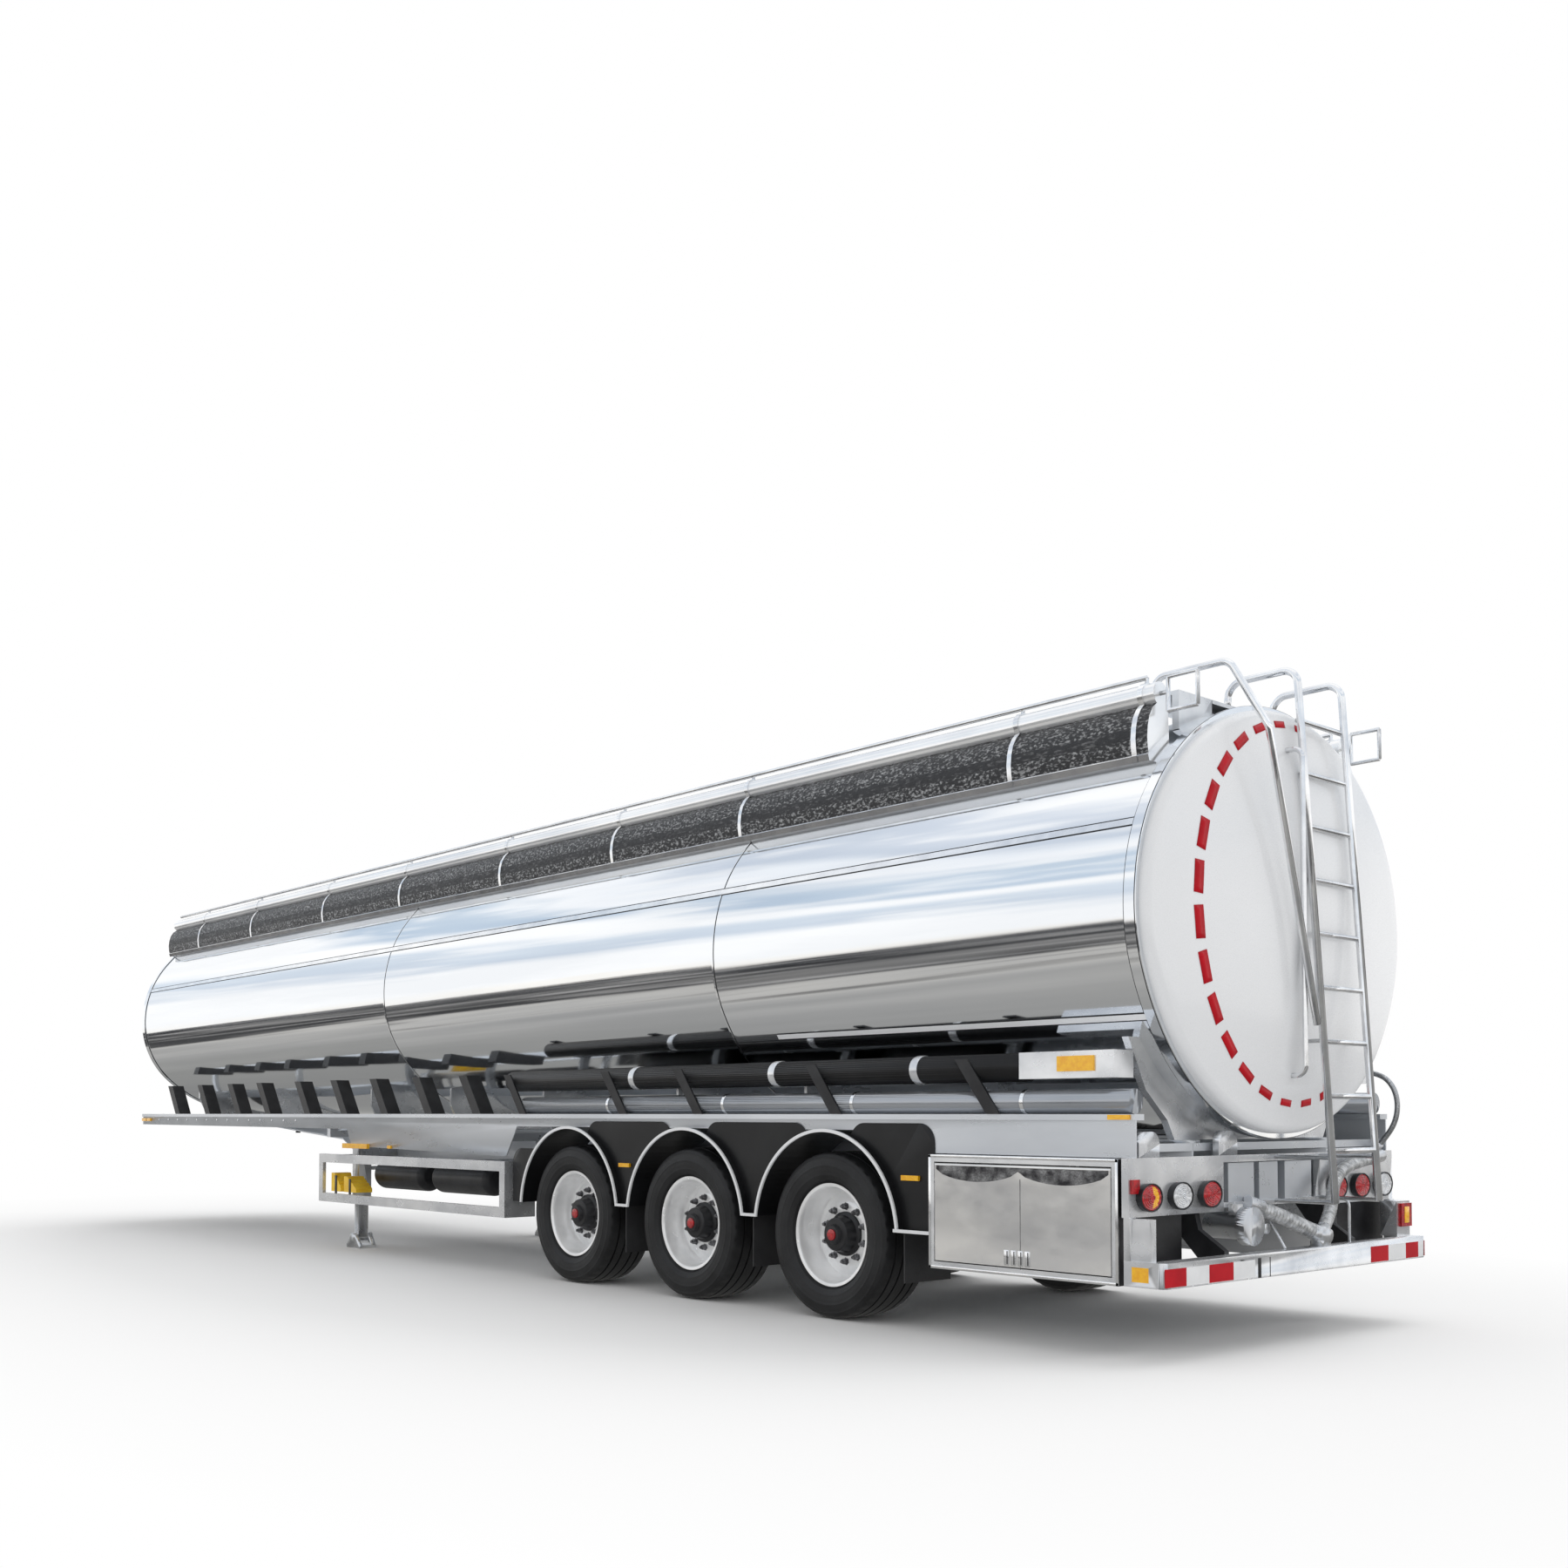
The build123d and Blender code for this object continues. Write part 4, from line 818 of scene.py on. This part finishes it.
def beadPoint(degrees, grow=0.0):
    angle = math.radians(degrees)
    radius = coaming["beadRadius"] + grow
    return coaming["beadSide"] + radius * math.cos(angle), coaming["beadHeight"] + radius * math.sin(angle)


beadArc = [beadPoint(degrees) for degrees in range(180, -61, -12)]
coamingLine = beadArc + coaming["band"] + coaming["foot"] + [(coaming["inner"], coaming["footHeight"])]
for side, label in ((1, "right"), (-1, "left")):
    rings = [[at(coaming[end], side * y, z) for y, z in coamingLine] for end in ("front", "rear")]
    mesh = ringsToMesh(label + "Coaming", rings, True, True)
    placePiece(label + "Coaming", mesh, ["beadPolish", "coamingPaintedShade", "ringPolish", "coamingDeeperPaintedShade"],
               stands=["coamings"] if side > 0 else (), sharpAngle=28)
    for polygon in mesh.polygons:
        outward = abs(polygon.normal.x) < 0.5 and polygon.normal.y * side > 0.2
        height = polygon.center.z
        if abs(polygon.normal.x) > 0.5:
            polygon.material_index = 0
        # faces in the dark band get painted shade, with a darker painted-shade stripe in its middle
        elif outward and coaming["band"][-1][1] - 0.002 < height < beadArc[-1][1]:
            polygon.material_index = 3 if coaming["stripeLow"] < height < coaming["stripeHigh"] else 1
        elif outward and height < coaming["band"][-1][1]:
            polygon.material_index = 2
outside = coaming["band"] + coaming["foot"]
strapArc = range(150, -49, -18)
strapLine = [beadPoint(degrees, coaming["strapRise"]) for degrees in strapArc]
strapLine += [(y + coaming["strapRise"], z) for y, z in outside]
inside = [beadPoint(degrees, -coaming["strapDepth"]) for degrees in strapArc]
inside += [(y - coaming["strapDepth"], z) for y, z in outside]
strapBm = bmesh.new()
addExtruded(strapBm, strapLine + inside[::-1], 0, -coaming["strapWidth"] / 2, coaming["strapWidth"] / 2)
strapSpots = [(at(station, 0, 0), (0, 0, turn)) for station in coaming["straps"] for turn in (0.0, halfTurn)]
repeatPiece("coamingStraps", strapBm, strapSpots, "ringPolish", sharpAngle=40)
print("coamings made")


# Side tubes: silver clamps on the hose tubes, joint rings on the pipes below,
# each with the radius, half width, distance from the middle and height
sideTubes = {"tube": (0.075, 0.028, 1.148, 1.421), "clamps": [-0.622, 0.807, 1.987],
             "pipe": (0.062, 0.012, 1.158, 1.242), "joints": [-0.900, 0.341, 1.498, 2.742]}


def collars(name, radius, half, side, height, stations, finishName):
    low, soft, full = radius - 0.002, radius + 0.003, radius + 0.005
    unit = bmesh.new()
    line = [(-half, low), (-half, soft), (-half * 0.8, full), (half * 0.8, full), (half, soft), (half, low)]
    addTurned(unit, Vector(), (1, 0, 0), line, 40)
    spots = [(at(station, turn * side, height),) for station in stations for turn in (-1, 1)]
    repeatPiece(name, unit, spots, finishName)


collars("tubeClamps", *sideTubes["tube"], sideTubes["clamps"], "panelBright")
collars("pipeRings", *sideTubes["pipe"], sideTubes["joints"], "ringPolish")


# Tail lamps: ringed and faceted lenses in dark bezels
lamps = {"face": 3.468, "height": 0.780, "radius": 0.067, "segments": 48, "dome": 0.012, "oval": 1.28,
         "rings": 13, "inside": 0.93, "ringLift": 0.0022, "facetLift": 0.0012, "amber": (0.016, 0.052),
         "bulb": 0.014, "places": [(-1.132, "amberRed"), (-0.875, "clear"), (-0.620, "red"),
                                   (0.620, "red"), (0.875, "red"), (1.132, "clear")],
         "bezel": [(-0.028, 0.99), (-0.002, 1.03), (0.006, 1.03), (0.008, 0.98), (0.004, 0.92),
                   (-0.001, 0.9)]}


def lampMesh(name, side, kind):
    bm = bmesh.new()
    steps = lamps["rings"]
    rings = []
    for k in range(steps + 1):
        radius = lamps["radius"] * lamps["inside"] * (1 - k / steps)
        swell = lamps["dome"] * (1 - (radius / lamps["radius"]) ** 2) + (lamps["ringLift"] if k % 2 else 0.0)
        if k == steps:
            rings.append([bm.verts.new(at(lamps["face"] + swell, side, lamps["height"]))])
            continue
        ring = []
        for i in range(lamps["segments"]):
            angle = math.tau * i / lamps["segments"]
            lift = swell + (lamps["facetLift"] if i % 4 < 2 else 0.0)
            lensY = side + radius * lamps["oval"] * math.cos(angle)
            lensZ = lamps["height"] + radius * math.sin(angle)
            ring.append(bm.verts.new(at(lamps["face"] + lift, lensY, lensZ)))
        rings.append(ring)
    for before, after in zip(rings, rings[1:]):
        for i in range(lamps["segments"]):
            j = (i + 1) % lamps["segments"]
            corners = [before[i], before[j], after[j % len(after)], after[i % len(after)]]
            face = bm.faces.new(list(dict.fromkeys(corners)))
            middle = face.calc_center_median()
            reach = math.hypot(middle.y - side, middle.z - lamps["height"])
            amber = kind == "amberRed" and lamps["amber"][0] < reach < lamps["amber"][1]
            if amber and middle.y > side + 0.002 or kind == "clear" and reach < lamps["bulb"]:
                face.material_index = 1
    bmesh.ops.recalc_face_normals(bm, faces=bm.faces)
    if sum(face.normal.x for face in bm.faces) < 0:
        bmesh.ops.reverse_faces(bm, faces=bm.faces)
    return meshFrom(name, bm)


lampFinish = {"amberRed": ["redLens", "amberLens"], "red": ["redLens"], "clear": ["clearLens", "ringPolish"]}
bezelBm = bmesh.new()
for number, (side, kind) in enumerate(lamps["places"], 1):
    name = f"lampLens{number}"
    placePiece(name, lampMesh(name, side, kind), lampFinish[kind], sharpAngle=12)
    bezel = [(lamps["face"] + along, lamps["radius"] * share) for along, share in lamps["bezel"]]
    addTurned(bezelBm, at(0, side, lamps["height"]), (1, 0, 0), bezel, lamps["segments"])
for vert in bezelBm.verts:
    middle = min((side for side, kind in lamps["places"]), key=lambda side: abs(side - vert.co.y))
    vert.co.y = middle + (vert.co.y - middle) * lamps["oval"]
placeBm("lampBezels", bezelBm, "darkSteel")
print("lamps made")


# Reflecting tape and slots on the bumper, and the amber lens on the right-hand post
tape = {"face": 3.640, "low": 0.372, "high": 0.458, "thick": 0.0012, "sunk": 0.004,
        "sideFirst": (3.470, 1.2735), "sideLast": (3.630, 1.2762),
        "red": [(-1.270, -1.102), (-0.913, -0.704), (0.641, 0.834), (1.031, 1.177)],
        "white": [(-1.102, -0.913), (-0.704, -0.510), (0.834, 1.031), (1.177, 1.235)],
        "dark": [(-0.484, -0.456), (-0.376, -0.370)]}
for name, finishName, key, grow in (("bumperRed", "redTape", "red", 0.0),
                                    ("bumperWhite", "whiteTape", "white", 0.0),
                                    ("bumperSlots", "darkSteel", "dark", 0.006)):
    bm = bmesh.new()
    for low, high in tape[key]:
        addBox(bm, at(tape["face"] - tape["sunk"], low, tape["low"] - grow),
               at(tape["face"] + tape["thick"], high, tape["high"] + grow))
    if key == "red":
        addBox(bm, at(*tape["sideFirst"], tape["low"]), at(*tape["sideLast"], tape["high"]))
    placeBm(name, bm, finishName)
postLens = bmesh.new()
addBox(postLens, at(3.566, 1.165, 0.560), at(3.5725, 1.218, 0.652), 0.002)
placeBm("postLens", postLens, "amberLens")


# Tool box faces: bright edging, a scalloped dark strip of painted reflection along the top of each door,
# seam and catches
boxFace = {"front": 2.150, "rear": 3.380, "low": 0.360, "high": 0.965, "edge": 0.016, "proud": 0.0025,
           "sunk": 0.004, "seam": 2.779, "seamHalf": 0.0015, "seamLow": 0.395, "seamHigh": 0.850,
           "scallops": 2, "scallopInset": 0.055, "scallopTop": 0.908, "scallopDeep": 0.080,
           "catches": [2.690, 2.735, 2.780, 2.825], "catchHalf": 0.015, "catchLow": 0.412,
           "catchHigh": 0.490}


def slab(bm, side, s0, s1, z0, z1, proud, bevel=0.0):
    skin = side * halfWidth
    ys = sorted((skin - side * boxFace["sunk"], skin + side * proud))
    addBox(bm, at(s0, ys[0], z0), at(s1, ys[1], z1), bevel)


for side, label in ((-1, "left"), (1, "right")):
    flap = f"toolbox_{label}_flap"
    bm = bmesh.new()
    f, r, lo, hi, e = (boxFace[key] for key in ("front", "rear", "low", "high", "edge"))
    for s0, s1, z0, z1 in ((f, r, lo, lo + e), (f, r, hi - e, hi), (f, f + e, lo, hi), (r - e, r, lo, hi)):
        slab(bm, side, s0, s1, z0, z1, boxFace["proud"], 0.001)
    placeBm(label + "BoxEdging", bm, "ringPolish")
    bm = bmesh.new()
    slab(bm, side, boxFace["seam"] - boxFace["seamHalf"], boxFace["seam"] + boxFace["seamHalf"],
         boxFace["seamLow"], boxFace["seamHigh"], 0.001)
    # scalloped dark strip along each door top: painted reflection of the underside
    first, last = f + boxFace["scallopInset"], r - boxFace["scallopInset"]
    span = (last - first) / boxFace["scallops"]
    skin = side * halfWidth
    ys = sorted((skin - side * 0.002, skin + side * 0.0008))
    for i in range(boxFace["scallops"]):
        outline = [(first + span * i, boxFace["scallopTop"])]
        for k in range(13):
            share = k / 12
            drop = boxFace["scallopDeep"] * (0.25 + 0.75 * math.sin(math.pi * share) ** 0.6)
            outline.append((first + span * (i + share), boxFace["scallopTop"] - drop))
        outline.append((first + span * (i + 1), boxFace["scallopTop"]))
        addExtruded(bm, [(midAxleX + s, z) for s, z in outline], 1, ys[0], ys[1])
    placeBm(label + "DoorShade", bm, "shadedAluminium", flap)
    catchBm, slotBm = bmesh.new(), bmesh.new()
    half, lo, hi = boxFace["catchHalf"], boxFace["catchLow"], boxFace["catchHigh"]
    for station in boxFace["catches"]:
        slab(catchBm, side, station - half, station + half, lo, hi, 0.006, 0.002)
        slab(slotBm, side, station + 0.004, station + 0.010, lo + 0.006, hi - 0.006, 0.007)
    placeBm(label + "DoorCatches", catchBm, "ringPolish", flap)
    placeBm(label + "CatchSlots", slotBm, "darkSteel", flap)
print("tool boxes made")


# Wheel chocks clipped behind the guards, with their brackets: first and last station, low and high
chocks = {"places": [(-5.030, -4.850, 0.505, 0.665), (-4.790, -4.560, 0.505, 0.640)], "outer": 1.243,
          "deep": 0.150, "ribs": 4, "toe": 0.030, "ribLong": 0.020, "ribDrop": 0.004, "bracketLow": 0.440,
          "bracketHalf": 0.018}
chockBm, bracketBm = bmesh.new(), bmesh.new()
for side in (-1, 1):
    for first, last, low, high in chocks["places"]:
        ys = sorted((side * chocks["outer"], side * (chocks["outer"] - chocks["deep"])))
        outline = [(first, low), (last, low), (last, low + chocks["toe"])]
        for k in range(chocks["ribs"]):
            share = (k + 1) / chocks["ribs"]
            s = last - (last - first - 0.05) * share
            z = low + chocks["toe"] + (high - low - chocks["toe"]) * share
            outline += [(s + chocks["ribLong"], z - chocks["ribDrop"]), (s, z)]
        outline.append((first, high))
        addExtruded(chockBm, [(midAxleX + s, z) for s, z in outline], 1, ys[0], ys[1])
        middle, half = (first + last) / 2, chocks["bracketHalf"]
        strap = sorted((side * (chocks["outer"] + 0.004), side * (chocks["outer"] - 0.002)))
        addBox(bracketBm, at(middle - half, strap[0], chocks["bracketLow"]),
               at(middle + half, strap[1], high - 0.02), 0.001)
placeBm("wheelChocks", chockBm, "chockYellow", sharpAngle=20)
placeBm("chockBrackets", bracketBm, "darkSteel")


# Hoses: ribbed or braided tubes along one smooth line through the route's points
hoses = {
    "drain": {"radius": 0.038, "length": 0.375, "ribs": 17, "depth": 0.0065, "finish": "ribbedHose",
              "route": [
        (3.484, -0.205, 0.692), (3.520, -0.092, 0.655), (3.553, 0.025, 0.610), (3.580, 0.135, 0.566)]},
    "branch": {"radius": 0.032, "length": 0.839, "ribs": 42, "depth": 0.0055, "finish": "ribbedHose",
               "route": [
        (3.480, 0.950, 0.930), (3.490, 0.800, 0.915), (3.500, 0.660, 0.893), (3.512, 0.540, 0.858),
        (3.528, 0.450, 0.790), (3.548, 0.402, 0.706), (3.570, 0.325, 0.632), (3.588, 0.240, 0.578)]},
    "loop": {"radius": 0.015, "length": 0.547, "ribs": 0, "depth": 0.0, "finish": "braidedHose", "route": [
        (3.352, 1.150, 1.424), (3.440, 1.153, 1.412), (3.508, 1.162, 1.350), (3.535, 1.170, 1.262),
        (3.530, 1.168, 1.168), (3.497, 1.158, 1.080), (3.440, 1.146, 1.010)]},
}


def smoothLine(route):
    curve = bpy.data.curves.new("route", "CURVE")
    curve.dimensions = "3D"
    curve.resolution_u = 24
    spline = curve.splines.new("NURBS")
    spline.points.add(len(route) - 1)
    for point, (station, y, z) in zip(spline.points, route):
        point.co = (*at(station, y, z), 1)
    spline.order_u = 3
    spline.use_endpoint_u = True
    holder = bpy.data.objects.new("route", curve)
    scene.collection.objects.link(holder)
    shown = holder.evaluated_get(bpy.context.evaluated_depsgraph_get())
    mesh = bpy.data.meshes.new_from_object(shown)
    points = [v.co.copy() for v in mesh.vertices]
    bpy.data.objects.remove(holder)
    bpy.data.meshes.remove(mesh)
    return points


def walk(points, distance):
    for before, after in zip(points, points[1:]):
        run = (after - before).length
        if distance <= run:
            return before.lerp(after, distance / run), (after - before).normalized()
        distance -= run
    return points[-1], (points[-1] - points[-2]).normalized()


for hoseName, hose in hoses.items():
    line = smoothLine(hose["route"])
    total = sum((b - a).length for a, b in zip(line, line[1:]))
    count = max(64, hose["ribs"] * 6)
    rings = []
    across = None
    for i in range(count + 1):
        point, along = walk(line, total * i / count * 0.99999)
        if across is None:
            across = along.orthogonal().normalized()
        else:
            across = (across - along * across.dot(along)).normalized()
        other = along.cross(across)
        wave = 0.5 - 0.5 * math.cos(math.tau * hose["ribs"] * i / count) if hose["ribs"] else 0.0
        radius = hose["radius"] + hose["depth"] * (wave - 0.5)
        turns = [math.tau * k / 28 for k in range(28)]
        rings.append([point + across * radius * math.cos(t) + other * radius * math.sin(t) for t in turns])
    name = hoseName + "Hose"
    piece = placePiece(name, ringsToMesh(name, rings, True, True), hose["finish"],
                       stands=[f"{hoseName}_hose"], sharpAngle=60)
print("hoses made")


# Manhole lids and walkway: bolts round each neck, grip bars across the planks
walkParts = {"bolts": 16, "boltCircle": 0.238, "lidTop": 3.427, "manholes": [-8.06, -5.02, -1.90, 1.38],
             "bolt": 0.009, "plankSide": 0.500, "plankTop": 3.352, "barStep": 0.060, "first": -9.26,
             "last": 3.28, "barHalf": 0.140}
circle, size = walkParts["boltCircle"], walkParts["bolt"]
for number, station in enumerate(walkParts["manholes"], 1):
    unit = bmesh.new()
    addTurned(unit, Vector(), (0, 0, 1), [(-0.002, size * 1.7), (0.002, size * 1.7), (0.002, size),
                                          (0.009, size), (0.010, size * 0.8), (0.010, 0.0)], 6)
    turns = [math.tau * (i + 0.5) / walkParts["bolts"] for i in range(walkParts["bolts"])]
    spots = [(at(station + circle * math.cos(t), circle * math.sin(t), walkParts["lidTop"]),) for t in turns]
    repeatPiece(f"lidBolts{number}", unit, spots, "ringPolish", f"lid_{number}")
unit = bmesh.new()
bar = [(-0.004, -0.001), (0.004, -0.001), (0.002, 0.003), (-0.002, 0.003)]
addExtruded(unit, bar, 1, -walkParts["barHalf"], walkParts["barHalf"])
barCount = int((walkParts["last"] - walkParts["first"]) / walkParts["barStep"])
barStations = [walkParts["first"] + walkParts["barStep"] * i for i in range(barCount)]
spots = [(at(station, side * walkParts["plankSide"], walkParts["plankTop"]),)
         for station in barStations for side in (-1, 1)]
repeatPiece("gripBars", unit, spots, "satinAluminium")


# Bolt heads along the side rails
railBolts = {"side": 1.215, "height": 1.120, "step": 0.262, "first": -9.50, "last": -5.40, "size": 0.010}
unit = bmesh.new()
size = railBolts["size"]
boltLine = [(-0.002, size), (0.003, size), (0.005, size * 0.7), (0.005, 0.0)]
addTurned(unit, Vector(), (0, 1, 0), boltLine, 12)
count = int((railBolts["last"] - railBolts["first"]) / railBolts["step"])
spots = []
for i in range(count):
    station = railBolts["first"] + railBolts["step"] * i
    spots.append((at(station, railBolts["side"], railBolts["height"]),))
    spots.append((at(station, -railBolts["side"], railBolts["height"]), (0, 0, halfTurn)))
repeatPiece("railBoltHeads", unit, spots, "ringPolish")
print("walkway and bolts made")


# Wheels: offsets outboard of the wheel's middle, with radii
wheelParts = {
    "tyreSide": [(0.14, 0.289), (0.149, 0.296), (0.152, 0.306), (0.16, 0.311), (0.169, 0.314),
        (0.1745, 0.322), (0.178, 0.33), (0.186, 0.345), (0.187, 0.347), (0.1868, 0.35), (0.1905, 0.366),
        (0.1923, 0.384), (0.1922, 0.398), (0.193, 0.4), (0.1918, 0.403), (0.19, 0.416), (0.1875, 0.43),
        (0.184, 0.443), (0.1845, 0.446), (0.1825, 0.448), (0.178, 0.459), (0.172, 0.467),
        (0.164, 0.473)],
    "treadHalf": [(0.15, 0.4765), (0.112, 0.48), (0.1105, 0.468), (0.0995, 0.468), (0.098, 0.4806),
        (0.048, 0.4822), (0.0465, 0.47), (0.0355, 0.47), (0.034, 0.4826)],
    "segments": 144,
    "rim": [(0.15, 0.2885), (0.153, 0.298), (0.158, 0.298), (0.1575, 0.29), (0.154, 0.28),
        (0.146, 0.2755), (0.12, 0.274), (0.06, 0.269), (0.02, 0.262), (0.006, 0.25), (0.004, 0.238),
        (0.01, 0.22), (0.026, 0.195), (0.0315, 0.185), (0.032, 0.14), (0.032, 0.11)],
    "rimBack": [(-0.06, 0.076), (-0.06, 0.118), (0.002, 0.13), (0, 0.248), (-0.06, 0.261),
        (-0.12, 0.266), (-0.1575, 0.276), (-0.158, 0.298), (-0.152, 0.298)],
    "lugReach": 0.468, "lugSide": 0.145, "lugDeep": 0.007,
    "hub": [(0.03, 0.13), (0.046, 0.128), (0.05, 0.12), (0.054, 0.108), (0.1, 0.1), (0.118, 0.096),
        (0.124, 0.088), (0.126, 0.06), (0.136, 0.056), (0.148, 0.05), (0.1495, 0.04), (0.1495, 0)],
    "cap": [(0.148, 0.033), (0.156, 0.032), (0.1575, 0.025), (0.1575, 0)],
    "nutCircle": 0.1600, "nutRadius": 0.0170, "nutHeight": 0.030, "nuts": 10,
}


def wheelMesh(name, profile, station, side, lugs=False):
    segments = wheelParts["segments"]
    rings = []
    for offset, radius in profile:
        onLug = lugs and abs(offset) > wheelParts["lugSide"] and radius > wheelParts["lugReach"]
        ring = []
        for i in range(segments):
            angle = math.tau * i / segments
            reach = radius
            if onLug and i % 4 == 0:
                reach -= wheelParts["lugDeep"]
            ring.append(at(station + reach * math.cos(angle), side * (wheelSide + offset),
                           wheelRadius + reach * math.sin(angle)))
        rings.append(ring)
    return ringsToMesh(name, rings)


outer = wheelParts["tyreSide"]
tread = wheelParts["treadHalf"]
tyreProfile = outer + tread + [(-u, r) for u, r in reversed(tread)] + [(-u, r) for u, r in reversed(outer)]
rimProfile = wheelParts["rimBack"] + wheelParts["rim"]
radius, height = wheelParts["nutRadius"], wheelParts["nutHeight"]
nutLine = [(0.030, radius * 1.35), (0.036, radius * 1.35), (0.037, radius), (0.030 + height, radius),
           (0.032 + height, radius * 0.7), (0.046 + height, radius * 0.55), (0.046 + height, 0.0)]
for sideName, side in (("left", -1), ("right", 1)):
    for number, station in enumerate(axleStations, 1):
        body = f"wheel_{sideName}_{number}"
        tag = f"{sideName}{number}"
        mesh = wheelMesh(f"tyre{tag}", tyreProfile, station, side, True)
        placePiece(f"tyre{tag}", mesh, "tyreRubber", body, [f"tyre_{sideName}_{number}"], 28)
        mesh = wheelMesh(f"rim{tag}", rimProfile, station, side)
        placePiece(f"rim{tag}", mesh, "polishedRim", body, [f"rim_{sideName}_{number}"], 35)
        centre = at(station, side * wheelSide, wheelRadius)
        hubBm = bmesh.new()
        addTurned(hubBm, centre, (0, side, 0), wheelParts["hub"], 48)
        placeBm(f"hub{tag}", hubBm, "darkSteel", body)
        nutBm = bmesh.new()
        addTurned(nutBm, Vector(), (0, side, 0), nutLine, 6)
        nutSpots = []
        for i in range(wheelParts["nuts"]):
            angle = math.tau * (i + 0.5) / wheelParts["nuts"]
            out = Vector((math.cos(angle), 0, math.sin(angle)))
            nutSpots.append((centre + out * wheelParts["nutCircle"],))
        repeatPiece(f"nuts{tag}", nutBm, nutSpots, "nutSteel", body)
        capBm = bmesh.new()
        addTurned(capBm, centre, (0, side, 0), wheelParts["cap"], 32)
        placeBm(f"cap{tag}", capBm, "redLens", body)
print("wheels made")
